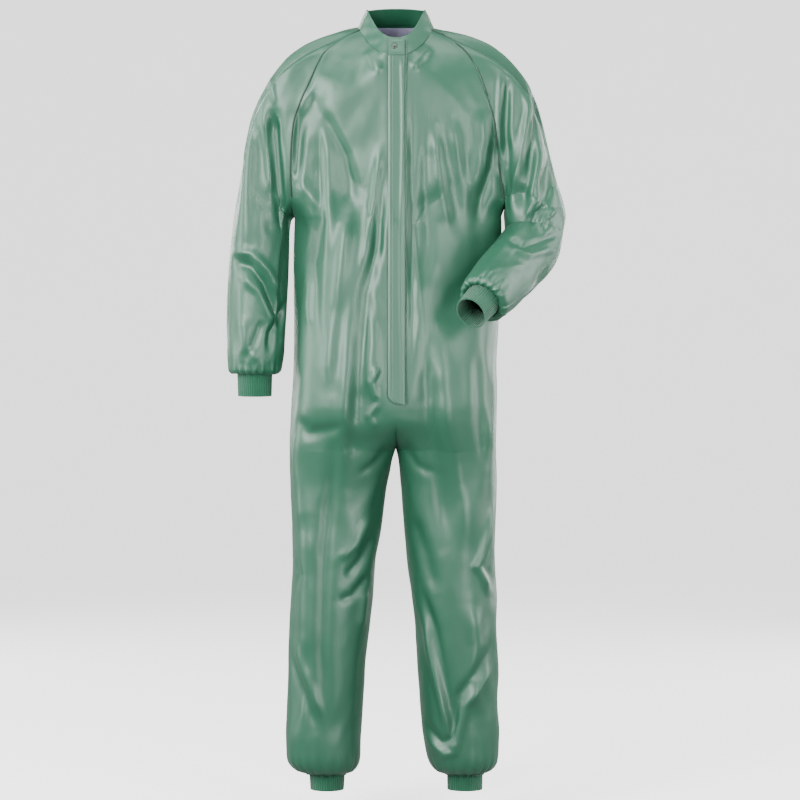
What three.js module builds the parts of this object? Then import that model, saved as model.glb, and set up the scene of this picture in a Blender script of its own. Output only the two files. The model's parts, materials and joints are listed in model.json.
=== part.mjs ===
// A woven coverall with raglan sleeves, a stand collar, a zip under a storm placket and knitted
// cuffs, as it hangs on a standing wearer whose left arm is bent in front of the hip.
//
// Millimetres, +Z up, the front faces -Y and +X is the wearer's left. Heights are measured from
// the hem of the ankle cuffs. The origin of the finished group is the middle of the neck opening.

import * as THREE from 'three';
import { LoftGeometry } from 'three/addons/geometries/LoftGeometry.js';

// ---------------------------------------------------------------- driving dimensions

const FABRIC = 2; // thickness of a body panel
const GAP = 0.4; // clearance between pieces that touch
const SIDE_GAP = 0.9; // clearance between the front and back panels at the side seams
const SECTION_POWER = 2.2; // roundness of the body and leg sections: 2 is an ellipse

// heights
const ANKLE_CUFF = 34; // length of the visible ankle cuff
const LEG_HEM_TUCK = 26; // height over which the leg is gathered on to its cuff
const KNEE = 395;
const KNEE_ZONE = 112; // length of the part of the leg that folds at the knee
const CROTCH = 684;
const HIP_ZONE = 76; // length of the part of the leg that folds below the crotch
const CROTCH_ARCH = 70; // height over which the crotch seam curves up to the front
const WAIST = 960;
const UNDERARM = 1140;
const NECK_FRONT = 1470;
const NECK_SIDE = 1522;
const NECK_BACK = 1530;

// body widths and depths, from the middle
const BODY_WIDTH = 203; // to one side
const CHEST_WIDTH = 250; // to one side, under the shoulder
const NECK_WIDTH = 72; // to one side
const FRONT_DEPTH_NECK = 92;
const FRONT_DEPTH_BELLY = 138;
const BACK_DEPTH_NECK = 60;
const BACK_DEPTH_BLADES = 124;
const BACK_DEPTH_WAIST = 112;
const BACK_DEPTH_SEAT = 132;
const LEG_SPREAD = 205; // outer side of the thigh
const LEG_MIDDLE = 108; // middle of the thigh
const THIGH_DEPTH = 102;
const KNEE_DEPTH = 90;
const SHIN_DEPTH = 78;
const ANKLE_RADIUS = 36;

// sleeves
const SLEEVE_RADIUS = 60; // at the elbow
const SLEEVE_HEM_RADIUS = 50;
const WRIST_RADIUS = 34;
const WRIST_CUFF = 48;
const SLEEVE_TUCK = 16; // length over which the sleeve is gathered on to its cuff
const KNIT = 2.4; // thickness of the knitted cuffs
const CUFF_DRAW = 2; // how much a cuff's hem is drawn in
const CUFF_HEM = 4; // straight part at a cuff's hem
const ELBOW_ZONE = 104; // length of the part of the straight sleeve that folds
const FOREARM = 168; // from the elbow zone to the end of the straight sleeve
const BENT_ELBOW_REACH = 52; // from the bent elbow's pivot to the cloth above and below it
const BENT_FOREARM = 190;
const SHOULDER_FULLNESS = 1.1; // how far the sleeve swings out before it turns down

// collar
const COLLAR_HEIGHT = 32;
const COLLAR_LEAN = 16; // how far the top of the collar leans in
const COLLAR_SEAT = 2; // how far the collar's lower edge stands above the neck seam
const COLLAR_SPLIT = 8; // where the collar's two ends meet, beside the middle

// zip and placket, in the leaning plane of the front edge
const ZIP_LENGTH = 664;
const ZIP_TOP_ROOM = 12; // from the neck seam to the top of the teeth
const TEETH_SPLIT = 1.4; // gap between the two rows, which the slider's post runs in
const TEETH_WIDTH = 2.4;
const TEETH_DEPTH = 2.4;
const TAPE_WIDTH = 13;
const TAPE_DEPTH = 0.8;
const TAPE_FRONT = FABRIC + 3 * GAP; // how far the tapes lie behind the front panels' face
const FRONT_EDGE = 4.8; // from the middle to the folded edge of each front panel
const SLIDER_LENGTH = 11;
const SLIDER_PLATE = 1.2;
const SLIDER_HALF_WIDTH = 4.2;
const PULL_LENGTH = 18;
const PULL_WIDTH = 6;
const PULL_DEPTH = 0.9;
const PLACKET_WIDTH = 33;
const PLACKET_FREE_EDGE = -15;
const PLACKET_DEPTH = 1.6;
const PLACKET_STAND_OFF = 6; // room for the slider and its pull
const PLACKET_LENGTH = 688;
const PLACKET_BASE_WIDTH = 3;
const GUARD_WIDTH = 34;
const GUARD_DEPTH = 1.2;

// press stud
const STUD_RADIUS = 5.5;
const STUD_HEIGHT = 2;
const CAP_RADIUS = 6.5;
const CAP_HEIGHT = 1.6;
const STUD_X = -3; // from the middle
const STUD_Z = 18; // above the collar's lower edge
const TAB_DEPTH = 1.6;
const TAB_HEIGHT = 27;
const TAB_LIFT = 4; // from the collar's lower edge to the tab's

const PIPING_RADIUS = 1.5;

// how finely the surfaces are divided
const COLUMNS = 9; // across a panel
const RING_COLUMNS = 18; // round a sleeve or cuff

// ---------------------------------------------------------------- materials

const material = (color, roughness, metalness = 0) =>
  new THREE.MeshStandardMaterial({ color, roughness, metalness });

const satin = () => material(0x6e9b87, 0.42);
const knit = () => material(0x2e7d5b, 0.9);
const piping = () => material(0x2e5a48, 0.6);
const facing = () => material(0xa9a5bd, 0.7);
const tape = () => material(0x5f8d79, 0.8);
const teeth = () => material(0x4f7d69, 0.4);
const steel = () => material(0x9aa39b, 0.35, 0.9);

// ---------------------------------------------------------------- helpers

// A size that changes along a height: stations are [height, size] pairs from low to high.
function along(stations, height) {
  const last = stations.length - 1;
  if (height <= stations[0][0]) return stations[0][1];
  if (height >= stations[last][0]) return stations[last][1];
  const i = stations.findIndex((station) => station[0] >= height);
  const [lowHeight, low] = stations[i - 1];
  const [highHeight, high] = stations[i];
  const t = (height - lowHeight) / (highHeight - lowHeight);
  return THREE.MathUtils.lerp(low, high, t);
}

const steps = (count) => Array.from({ length: count + 1 }, (_, i) => i / count);
const mirrored = (point, side) => new THREE.Vector3(side * point.x, point.y, point.z);
const power = (value, exponent) => Math.pow(Math.max(value, 0), exponent);

// The sum of the signed volumes of the tetrahedra under each face.
function signedVolume(geometry) {
  const position = geometry.getAttribute('position');
  const index = geometry.getIndex();
  const corner = [new THREE.Vector3(), new THREE.Vector3(), new THREE.Vector3()];
  let volume = 0;
  for (let i = 0; i < index.count; i += 3) {
    corner.forEach((vertex, j) => vertex.fromBufferAttribute(position, index.getX(i + j)));
    volume += corner[0].dot(corner[1].clone().cross(corner[2])) / 6;
  }
  return volume;
}

// A closed loft whose faces point outwards, whichever way its sections wind.
function solidLoft(sections, capped) {
  const options = { closed: true, capStart: capped, capEnd: capped };
  const loft = new LoftGeometry(sections, options);
  const turned = () => sections.map((section) => section.slice().reverse());
  const outward = signedVolume(loft) > 0 ? loft : new LoftGeometry(turned(), options);
  return new THREE.BufferGeometry().copy(outward);
}

// The unit normal of a grid of points at row i, column j. A wrapped grid is a tube.
function gridNormal(grid, i, j, wrapped) {
  const columns = grid[0].length;
  const next = wrapped ? (j + 1) % columns : Math.min(j + 1, columns - 1);
  const before = wrapped ? (j + columns - 1) % columns : Math.max(j - 1, 0);
  const across = grid[i][next].clone().sub(grid[i][before]);
  const up = grid[Math.min(i + 1, grid.length - 1)][j].clone().sub(grid[Math.max(i - 1, 0)][j]);
  return across.cross(up).normalize();
}

// The same grid moved along its normals.
function offsetGrid(grid, distance, wrapped = false) {
  return grid.map((row, i) =>
    row.map((point, j) => point.clone().addScaledVector(gridNormal(grid, i, j, wrapped), distance)));
}

// A closed sheet between an outer grid and an inner one.
const between = (outer, inner) =>
  solidLoft(outer.map((row, i) => [...row, ...inner[i].slice().reverse()]), true);

// A sheet of even thickness under an outer grid whose normals point outwards.
const sheet = (grid, thickness) => between(grid, offsetGrid(grid, -thickness));

// An open-ended tube wall: the outer grid, then back along the inner one to the start.
function tubeWall(grid, thickness) {
  const inner = offsetGrid(grid, -thickness, true);
  return solidLoft([...grid, ...inner.reverse(), grid[0]], false);
}

// A round wall about a straight axis: rings are [distance along the axis, radius] pairs.
function ringGrid(start, direction, rings) {
  const side = new THREE.Vector3(0, 1, 0).cross(direction).normalize();
  const front = direction.clone().cross(side).normalize();
  return rings.map(([distance, radius]) =>
    steps(RING_COLUMNS).slice(0, RING_COLUMNS).map((turn) => {
      const angle = turn * 2 * Math.PI;
      return start.clone()
        .addScaledVector(direction, distance)
        .addScaledVector(side, radius * Math.cos(angle))
        .addScaledVector(front, radius * Math.sin(angle));
    }));
}

function box(width, depth, height, x, y, z) {
  const geometry = new THREE.BoxGeometry(width, depth, height);
  geometry.translate(x, y, z);
  return geometry;
}

function disc(radius, depth, x, y, z) {
  const geometry = new THREE.CylinderGeometry(radius, radius, depth, 20);
  geometry.translate(x, y, z);
  return geometry;
}

function mesh(name, geometry, look) {
  const made = new THREE.Mesh(geometry, look);
  made.name = name;
  return made;
}

// ---------------------------------------------------------------- the body's surface

const FRONT_SLOPE = (FRONT_DEPTH_BELLY - FRONT_DEPTH_NECK) / (NECK_FRONT - CROTCH - 2 * CROTCH_ARCH);
const frontLine = (height) => FRONT_DEPTH_NECK + (NECK_FRONT - height) * FRONT_SLOPE;

const halfWidth = [
  [ANKLE_CUFF + LEG_HEM_TUCK, LEG_SPREAD - 2],
  [KNEE, LEG_SPREAD - 2],
  [CROTCH, LEG_SPREAD],
  [WAIST, BODY_WIDTH - 1],
  [UNDERARM, BODY_WIDTH],
  [UNDERARM + 140, CHEST_WIDTH - 8],
  [UNDERARM + 202, CHEST_WIDTH],
  [UNDERARM + 270, CHEST_WIDTH - 7],
  [UNDERARM + 334, BODY_WIDTH + 5],
  [NECK_SIDE - 28, NECK_WIDTH + 100],
  [NECK_SIDE, NECK_WIDTH + 24],
  [NECK_BACK, NECK_WIDTH + 12],
];
const flatHalf = [
  [CROTCH, LEG_MIDDLE],
  [WAIST, 60],
  [UNDERARM, 45],
  [NECK_FRONT, 30],
  [NECK_BACK, 20],
];
const frontDepth = [
  [ANKLE_CUFF, SHIN_DEPTH - 6],
  [200, SHIN_DEPTH],
  [KNEE, KNEE_DEPTH],
  [CROTCH - HIP_ZONE, THIGH_DEPTH],
  [CROTCH, THIGH_DEPTH + 14],
  [CROTCH + CROTCH_ARCH, frontLine(CROTCH + CROTCH_ARCH) - 6],
  [CROTCH + 1.4 * CROTCH_ARCH, frontLine(CROTCH + 1.4 * CROTCH_ARCH)],
  [NECK_FRONT, FRONT_DEPTH_NECK],
  [NECK_SIDE - 22, 0.62 * FRONT_DEPTH_NECK],
  [NECK_SIDE, 0.4 * FRONT_DEPTH_NECK],
];
const backDepth = [
  [ANKLE_CUFF, SHIN_DEPTH],
  [200, SHIN_DEPTH + 6],
  [KNEE, KNEE_DEPTH],
  [CROTCH - HIP_ZONE, THIGH_DEPTH + 8],
  [CROTCH, THIGH_DEPTH + 18],
  [CROTCH + 90, BACK_DEPTH_SEAT],
  [WAIST, BACK_DEPTH_WAIST],
  [UNDERARM, BACK_DEPTH_BLADES - 6],
  [UNDERARM + 140, BACK_DEPTH_BLADES],
  [UNDERARM + 260, BACK_DEPTH_BLADES - 14],
  [NECK_FRONT, BACK_DEPTH_NECK + 24],
  [NECK_BACK, BACK_DEPTH_NECK],
];
const inseam = [
  [ANKLE_CUFF + LEG_HEM_TUCK, 68],
  [134, 61],
  [264, 51],
  [KNEE, 40],
  [CROTCH - 220, 34],
  [CROTCH - 90, 24],
  [CROTCH, 2],
];
const raglanFront = [
  [UNDERARM, BODY_WIDTH],
  [UNDERARM + 60, BODY_WIDTH + 2],
  [UNDERARM + 140, BODY_WIDTH + 3],
  [UNDERARM + 202, BODY_WIDTH - 1],
  [UNDERARM + 270, BODY_WIDTH - 24],
  [UNDERARM + 336, NECK_WIDTH + 72],
  [NECK_SIDE - 8, NECK_WIDTH + 20],
  [NECK_SIDE, NECK_WIDTH],
];
const raglanBack = [
  [UNDERARM, BODY_WIDTH],
  [UNDERARM + 90, BODY_WIDTH],
  [UNDERARM + 200, BODY_WIDTH - 12],
  [UNDERARM + 280, BODY_WIDTH - 42],
  [UNDERARM + 350, NECK_WIDTH + 42],
  [NECK_SIDE + 4, NECK_WIDTH - 4],
];

const FRONT = { sign: -1, depth: frontDepth, raglan: raglanFront, neckMiddle: NECK_FRONT, neckSide: NECK_SIDE };
const BACK = { sign: 1, depth: backDepth, raglan: raglanBack, neckMiddle: NECK_BACK, neckSide: NECK_SIDE + 4 };

// How far the middle seam has opened to the full depth: a quarter circle above the crotch.
function archOpening(height) {
  const u = THREE.MathUtils.clamp((height - CROTCH) / CROTCH_ARCH, 0, 1);
  return Math.sqrt(1 - (1 - u) * (1 - u));
}

// Depth of the surface, from the side seam's plane, at a distance x from the middle.
function surfaceDepth(face, x, height) {
  const flat = along(flatHalf, height);
  const half = along(halfWidth, height);
  const beyond = THREE.MathUtils.clamp((x - flat) / (half - flat), 0, 1);
  return along(face.depth, height) * power(1 - power(beyond, SECTION_POWER), 1 / SECTION_POWER);
}

// One row of a lower panel, from the middle seam or inseam out to the side seam.
function lowerRow(face, height, middleEdge) {
  const flat = along(flatHalf, height);
  const half = along(halfWidth, height);
  const depth = along(face.depth, height);
  const inner = height > CROTCH ? middleEdge : along(inseam, height);
  const opening = height > CROTCH ? archOpening(height) : 0;
  const deepest = power(1 - power(opening, SECTION_POWER), 1 / SECTION_POWER);
  return steps(COLUMNS).map((u) => {
    const angle = (2 * u - 1) * Math.PI / 2;
    const reach = power(Math.abs(Math.sin(angle)), 2 / SECTION_POWER);
    if (u > 0.5) {
      const y = depth * power(Math.cos(angle), 2 / SECTION_POWER);
      return new THREE.Vector3(flat + (half - flat) * reach, face.sign * (y + SIDE_GAP / 2), height);
    }
    const y = depth * power(1 - power(reach * deepest, SECTION_POWER), 1 / SECTION_POWER);
    return new THREE.Vector3(flat - (flat - inner) * reach, face.sign * (y + SIDE_GAP / 2), height);
  });
}

// One row of the yoke above the underarm, from the middle seam out to the raglan seam. climb
// goes from 0 at the underarm to 1 at the neck seam.
function yokeRow(face, climb, middleEdge) {
  const middleHeight = THREE.MathUtils.lerp(UNDERARM, face.neckMiddle, climb);
  const sideHeight = THREE.MathUtils.lerp(UNDERARM, face.neckSide, climb);
  const edge = along(face.raglan, sideHeight);
  return steps(COLUMNS).map((u) => {
    const share = power(Math.sin(u * Math.PI / 2), 2 / SECTION_POWER);
    const x = middleEdge + (edge - middleEdge) * share;
    const height = middleHeight + (sideHeight - middleHeight) * power(x / edge, 2.5);
    return new THREE.Vector3(x, face.sign * (surfaceDepth(face, x, height) + SIDE_GAP / 2), height);
  });
}

// The raglan seam from the underarm up to the neck: each point, and the way the cloth leaves it.
// At the underarm it leaves sideways and down, above it as the panel's own surface runs on.
function raglanSeam(face, count) {
  const sideways = new THREE.Vector3(1, 0, -0.2).normalize();
  return steps(count).map((climb) => {
    const row = yokeRow(face, climb, 0);
    const onward = row[COLUMNS].clone().sub(row[COLUMNS - 1]).normalize();
    const share = THREE.MathUtils.smoothstep(climb, 0.05, 0.6);
    return { point: row[COLUMNS], away: sideways.clone().lerp(onward, share).normalize() };
  });
}

// The neck seam from the front middle round one side to the back middle.
function neckLine() {
  const front = yokeRow(FRONT, 1, 0);
  const back = yokeRow(BACK, 1, 0).reverse();
  const shoulder = steps(4).slice(1, 4).map((u) => front[COLUMNS].clone().lerp(back[0], u)
    .add(new THREE.Vector3(4 * Math.sin(u * Math.PI), 0, 3 * Math.sin(u * Math.PI))));
  return [...front, ...shoulder, ...back];
}

// ---------------------------------------------------------------- body and legs

const LEG_TOP = CROTCH + GAP;
const THIGH_TOP = CROTCH - HIP_ZONE;
const THIGH_BOTTOM = KNEE + KNEE_ZONE / 2;
const SHIN_TOP = KNEE - KNEE_ZONE / 2;
const LEG_HEM = ANKLE_CUFF + LEG_HEM_TUCK;
const ZIP_BOTTOM = NECK_FRONT - ZIP_TOP_ROOM - ZIP_LENGTH;

// The folded front edge stands back from the middle beside the zip, and meets it below.
const frontEdge = (height) => (height > ZIP_BOTTOM - 6 ? FRONT_EDGE : GAP);

const bodyHeights = [
  ...steps(5).map((u) => CROTCH + GAP + CROTCH_ARCH * u * u),
  ZIP_BOTTOM - 8,
  ZIP_BOTTOM - 4,
  ...steps(4).map((u) => THREE.MathUtils.lerp(ZIP_BOTTOM + 40, UNDERARM, u)),
];

function bodyPanel(name, face, side, edge) {
  const lower = bodyHeights.map((height) => lowerRow(face, height, edge(height)));
  const yoke = steps(10).slice(1).map((climb) => yokeRow(face, climb, edge(UNDERARM)));
  const rows = [...lower, ...yoke].map((row) => row.map((point) => mirrored(point, side)));
  const outward = side * face.sign < 0 ? rows : rows.map((row) => row.slice().reverse());
  return mesh(name, sheet(outward, FABRIC), satin());
}

function legPanel(name, face, side, top, bottom, count) {
  const rows = steps(count).map((u) =>
    lowerRow(face, THREE.MathUtils.lerp(bottom, top, u), 0).map((point) => mirrored(point, side)));
  const outward = side * face.sign < 0 ? rows : rows.map((row) => row.slice().reverse());
  return mesh(name, sheet(outward, FABRIC), satin());
}

// A whole ring of the leg at one height, counter-clockwise from above.
function legRing(side, height) {
  const front = lowerRow(FRONT, height, 0).map((point) => mirrored(point, side));
  const back = lowerRow(BACK, height, 0).map((point) => mirrored(point, side)).reverse();
  const ring = [...front, ...back.slice(1, -1)];
  return side > 0 ? ring : ring.reverse();
}

function legZone(name, side, top, bottom) {
  const rings = steps(4).map((u) => legRing(side, THREE.MathUtils.lerp(bottom + GAP, top - GAP, u)));
  return mesh(name, tubeWall(rings, FABRIC), satin());
}

const ANKLE_MIDDLE = (along(inseam, LEG_HEM) + along(halfWidth, LEG_HEM)) / 2;

// The gathered hem: the leg's last ring drawn in to the cuff, down a quarter circle.
function legHem(name, side) {
  const cuffTop = ANKLE_RADIUS + KNIT / 2;
  const middle = new THREE.Vector3(side * ANKLE_MIDDLE, 0, LEG_HEM);
  const full = legRing(side, LEG_HEM);
  const drawnIn = steps(4).map((u) => full.map((point) => {
    const outward = point.clone().sub(middle);
    const drawn = outward.clone().setLength(cuffTop).lerp(outward, Math.sin(u * Math.PI / 2));
    const drop = (LEG_HEM - ANKLE_CUFF - 3 * GAP) * Math.cos(u * Math.PI / 2);
    return middle.clone().add(drawn).setZ(LEG_HEM - 2 * GAP - drop);
  }));
  return mesh(name, tubeWall(drawnIn, FABRIC), satin());
}

function ankleCuff(name, side) {
  const rings = ringGrid(
    new THREE.Vector3(side * ANKLE_MIDDLE, 0, 0),
    new THREE.Vector3(0, 0, 1),
    [
      [0, ANKLE_RADIUS - CUFF_DRAW],
      [CUFF_HEM, ANKLE_RADIUS - CUFF_DRAW],
      [ANKLE_CUFF * 0.5, ANKLE_RADIUS],
      [ANKLE_CUFF, ANKLE_RADIUS + KNIT / 2],
    ],
  );
  return mesh(name, tubeWall(rings, KNIT), knit());
}

function legs() {
  const group = new THREE.Group();
  for (const [word, side] of [['right', -1], ['left', 1]]) {
    group.add(
      legZone(`hip_fold_${word}`, side, LEG_TOP, THIGH_TOP),
      legPanel(`thigh_front_${word}`, FRONT, side, THIGH_TOP, THIGH_BOTTOM, 4),
      legPanel(`thigh_back_${word}`, BACK, side, THIGH_TOP, THIGH_BOTTOM, 4),
      legZone(`knee_fold_${word}`, side, THIGH_BOTTOM, SHIN_TOP),
      legPanel(`shin_front_${word}`, FRONT, side, SHIN_TOP, LEG_HEM, 5),
      legPanel(`shin_back_${word}`, BACK, side, SHIN_TOP, LEG_HEM, 5),
      legHem(`leg_hem_${word}`, side),
      ankleCuff(`ankle_cuff_${word}`, side),
    );
  }
  return group;
}

// ---------------------------------------------------------------- sleeves

// Where each upper sleeve ends above the elbow, and which way it points there.
const STRAIGHT = {
  end: new THREE.Vector3(BODY_WIDTH + 67, -8, 1112),
  direction: new THREE.Vector3(0, 0, -1),
};
const BENT_ELBOW = new THREE.Vector3(BODY_WIDTH + 81, -27, 1108);
const BENT_UPPER_DIRECTION = new THREE.Vector3(0.22, -0.04, -0.97).normalize();
const BENT_LOWER_DIRECTION = new THREE.Vector3(-0.48, -0.73, -0.49).normalize();
const BENT = {
  end: BENT_ELBOW.clone().addScaledVector(BENT_UPPER_DIRECTION, -BENT_ELBOW_REACH),
  direction: BENT_UPPER_DIRECTION,
};

// The armhole, from the underarm up the front seam, across the neck and down the back seam.
function armhole(count) {
  const front = raglanSeam(FRONT, count);
  const back = raglanSeam(BACK, count).reverse();
  const shoulder = {
    point: front[count].point.clone().lerp(back[0].point, 0.5).add(new THREE.Vector3(4, 0, 3)),
    away: new THREE.Vector3(1, 0, -0.2).normalize(),
  };
  return [...front, shoulder, ...back.slice(0, -1)];
}

// A smooth sheet from each armhole point out over the shoulder and down to the sleeve's ring.
function upperSleeve(name, side, arm) {
  const seam = armhole(10);
  const count = seam.length;
  const across = new THREE.Vector3(0, 1, 0).cross(arm.direction).normalize();
  const forward = across.clone().cross(arm.direction);
  const ring = seam.map((_, j) => {
    const angle = j / count * 2 * Math.PI;
    return arm.end.clone()
      .addScaledVector(across, SLEEVE_RADIUS * Math.cos(angle))
      .addScaledVector(forward, SLEEVE_RADIUS * Math.sin(angle));
  });
  const rows = steps(7).map((s) => seam.map(({ point, away }, j) => {
    const reach = point.distanceTo(ring[j]);
    const leave = away.clone().multiplyScalar(reach * SHOULDER_FULLNESS);
    const arrive = arm.direction.clone().multiplyScalar(reach * SHOULDER_FULLNESS);
    const s2 = s * s;
    const s3 = s2 * s;
    return point.clone().addScaledVector(away, 5 * GAP).multiplyScalar(2 * s3 - 3 * s2 + 1)
      .addScaledVector(leave, s3 - 2 * s2 + s)
      .addScaledVector(ring[j], 3 * s2 - 2 * s3)
      .addScaledVector(arrive, s3 - s2);
  }));
  const placed = rows.map((row) => row.map((point) => mirrored(point, side)));
  const outward = side > 0 ? placed.map((row) => row.slice().reverse()) : placed;
  return mesh(name, tubeWall(outward, FABRIC), satin());
}

// The folding part of a sleeve: rings whose direction turns from one end to the other.
function elbowZone(name, side, start, startDirection, end, endDirection) {
  const span = start.distanceTo(end);
  const rings = steps(5).map((s) => {
    const s2 = s * s;
    const s3 = s2 * s;
    const middle = start.clone().multiplyScalar(2 * s3 - 3 * s2 + 1)
      .addScaledVector(startDirection, span * (s3 - 2 * s2 + s))
      .addScaledVector(end, 3 * s2 - 2 * s3)
      .addScaledVector(endDirection, span * (s3 - s2));
    const direction = startDirection.clone().lerp(endDirection, s).normalize();
    return ringGrid(middle, direction, [[0, SLEEVE_RADIUS]])[0].map((point) => mirrored(point, side));
  });
  const outward = side > 0 ? rings : rings.map((row) => row.slice().reverse());
  return mesh(name, tubeWall(outward, FABRIC), satin());
}

function forearmSleeve(name, side, start, direction, length) {
  const rings = ringGrid(start, direction, [
    [0, SLEEVE_RADIUS],
    [length * 0.45, SLEEVE_RADIUS - 2],
    [length - SLEEVE_TUCK * 1.6, SLEEVE_HEM_RADIUS + 4],
    [length - SLEEVE_TUCK * 0.6, SLEEVE_HEM_RADIUS],
    [length - SLEEVE_TUCK * 0.1, SLEEVE_HEM_RADIUS - 7],
    [length, WRIST_RADIUS + KNIT],
  ]).map((row) => row.map((point) => mirrored(point, side)));
  const outward = side > 0 ? rings : rings.map((row) => row.slice().reverse());
  return mesh(name, tubeWall(outward, FABRIC), satin());
}

function wristCuff(name, side, start, direction) {
  const rings = ringGrid(start, direction, [
    [GAP, WRIST_RADIUS + KNIT],
    [WRIST_CUFF * 0.5, WRIST_RADIUS],
    [WRIST_CUFF - CUFF_HEM, WRIST_RADIUS - CUFF_DRAW],
    [WRIST_CUFF, WRIST_RADIUS - CUFF_DRAW],
  ]).map((row) => row.map((point) => mirrored(point, side)));
  const outward = side > 0 ? rings : rings.map((row) => row.slice().reverse());
  return mesh(name, tubeWall(outward, KNIT), knit());
}

function sleeve(word, side, arm, lowerStart, lowerDirection, length) {
  const group = new THREE.Group();
  const hem = lowerStart.clone().addScaledVector(lowerDirection, length);
  const foldStart = arm.end.clone().addScaledVector(arm.direction, GAP);
  const foldEnd = lowerStart.clone().addScaledVector(lowerDirection, -GAP);
  group.add(
    upperSleeve(`upper_sleeve_${word}`, side, arm),
    elbowZone(`elbow_fold_${word}`, side, foldStart, arm.direction, foldEnd, lowerDirection),
    forearmSleeve(`forearm_sleeve_${word}`, side, lowerStart, lowerDirection, length),
    wristCuff(`wrist_cuff_${word}`, side, hem, lowerDirection),
  );
  return group;
}

function sleeves() {
  const group = new THREE.Group();
  const straightLower = STRAIGHT.end.clone().addScaledVector(STRAIGHT.direction, ELBOW_ZONE);
  const bentLower = BENT_ELBOW.clone().addScaledVector(BENT_LOWER_DIRECTION, BENT_ELBOW_REACH);
  group.add(
    sleeve('right', -1, STRAIGHT, straightLower, STRAIGHT.direction, FOREARM),
    sleeve('left', 1, BENT, bentLower, BENT_LOWER_DIRECTION, BENT_FOREARM),
  );
  return group;
}

// ---------------------------------------------------------------- raglan piping

// The piping lies on the body panel, just inside the raglan seam.
function raglanPiping(name, face, side) {
  const rows = steps(14).map((u) => yokeRow(face, THREE.MathUtils.lerp(0.15, 0.98, u), 0));
  const line = rows.map((row, i) => {
    const outward = gridNormal(rows, i, COLUMNS, false).multiplyScalar(-face.sign);
    const inward = row[COLUMNS - 1].clone().sub(row[COLUMNS]).normalize();
    const point = row[COLUMNS].clone()
      .addScaledVector(inward, 2 * PIPING_RADIUS)
      .addScaledVector(outward, PIPING_RADIUS + GAP);
    return mirrored(point, side);
  });
  const section = new THREE.Shape().absarc(0, 0, PIPING_RADIUS, 0, Math.PI * 2);
  const path = new THREE.CatmullRomCurve3(line);
  const options = { steps: 22, curveSegments: 3, extrudePath: path };
  return mesh(name, new THREE.ExtrudeGeometry(section, options), piping());
}

// ---------------------------------------------------------------- collar

// The collar's wall from the neck seam up, leaning inwards; lift is the height above the seam.
function collarRow(lift, outset) {
  const half = neckLine();
  const lean = COLLAR_LEAN * lift / COLLAR_HEIGHT;
  const place = (point, side) => {
    const radial = new THREE.Vector3(point.x, point.y + 12, 0).normalize();
    const moved = point.clone().addScaledVector(radial, outset - lean);
    return new THREE.Vector3(side * moved.x, moved.y, moved.z + lift + COLLAR_SEAT);
  };
  const rightSide = half.map((point) => place(point, -1));
  const leftSide = half.map((point) => place(point, 1)).reverse();
  return [...rightSide, ...leftSide.slice(1, -1)];
}

// A band round the neck, split beside the front middle.
function collarBand(name, outset, thickness, low, high, look) {
  const rows = (offset) => steps(3).map((u) => {
    const row = collarRow(THREE.MathUtils.lerp(low, high, u), offset);
    const right = row[0].clone().setX(COLLAR_SPLIT - GAP);
    const left = row[0].clone().setX(COLLAR_SPLIT + GAP);
    const kept = row.slice(1).filter((point) => point.y > 0 || Math.abs(point.x) > COLLAR_SPLIT + 2);
    return [right, row[0].clone().setX(-COLLAR_SPLIT), ...kept, left];
  });
  return mesh(name, between(rows(outset), rows(outset - thickness)), look);
}

function backNeckFacing() {
  const rows = steps(4).map((u) => {
    const drop = THREE.MathUtils.lerp(46, 3, u);
    return steps(12).map((v) => {
      const x = THREE.MathUtils.lerp(-58, 58, v);
      const height = NECK_BACK - drop * Math.sqrt(1 - Math.pow(x / 62, 2)) - 8 * Math.pow(x / 62, 2);
      const y = surfaceDepth(BACK, Math.abs(x), height) - FABRIC - 3 * GAP;
      return new THREE.Vector3(x, y, height);
    });
  });
  return mesh('back_neck_facing', sheet(rows.map((row) => row.slice().reverse()), 1), facing());
}

// ---------------------------------------------------------------- the leaning front edge

const FRONT_TILT = Math.atan(FRONT_SLOPE);

// A group whose -Z runs down the front edge and whose -Y points out of the chest, at the neck.
function frontGroup() {
  const group = new THREE.Group();
  group.position.set(0, -FRONT_DEPTH_NECK - SIDE_GAP / 2, NECK_FRONT);
  group.rotation.x = -FRONT_TILT;
  return group;
}

function zip() {
  const group = frontGroup();
  const length = ZIP_LENGTH;
  const middle = -ZIP_TOP_ROOM - length / 2;
  const toothX = TEETH_SPLIT / 2 + TEETH_WIDTH / 2;
  const toothY = TEETH_DEPTH / 2 + GAP;
  const tapeX = TEETH_SPLIT / 2 + TEETH_WIDTH + GAP + TAPE_WIDTH / 2;
  const tapeY = TAPE_FRONT + TAPE_DEPTH / 2;
  for (const [word, side] of [['right', -1], ['left', 1]]) {
    group.add(
      mesh(`zip_tape_${word}`, box(TAPE_WIDTH, TAPE_DEPTH, length, side * tapeX, tapeY, middle), tape()),
      mesh(`zip_teeth_${word}`, box(TEETH_WIDTH, TEETH_DEPTH, length, side * toothX, toothY, middle), teeth()),
      mesh(
        `zip_top_stop_${word}`,
        box(TEETH_WIDTH, TEETH_DEPTH, 3, side * toothX, toothY, -ZIP_TOP_ROOM + 1.5 + GAP),
        steel(),
      ),
    );
  }
  const stopWidth = TEETH_SPLIT + 2 * TEETH_WIDTH;
  const stopZ = -ZIP_TOP_ROOM - length - 1.5 - GAP;
  group.add(
    mesh('zip_bottom_stop', box(stopWidth, TEETH_DEPTH, 3, 0, toothY, stopZ), steel()),
    zipGuard(middle, length),
    zipSlider(),
    zipPull(),
  );
  return group;
}

const SLIDER_TOP = -ZIP_TOP_ROOM - 1;
const SLIDER_FACE = -SLIDER_PLATE - GAP / 2; // front of the slider's front plate

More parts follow.
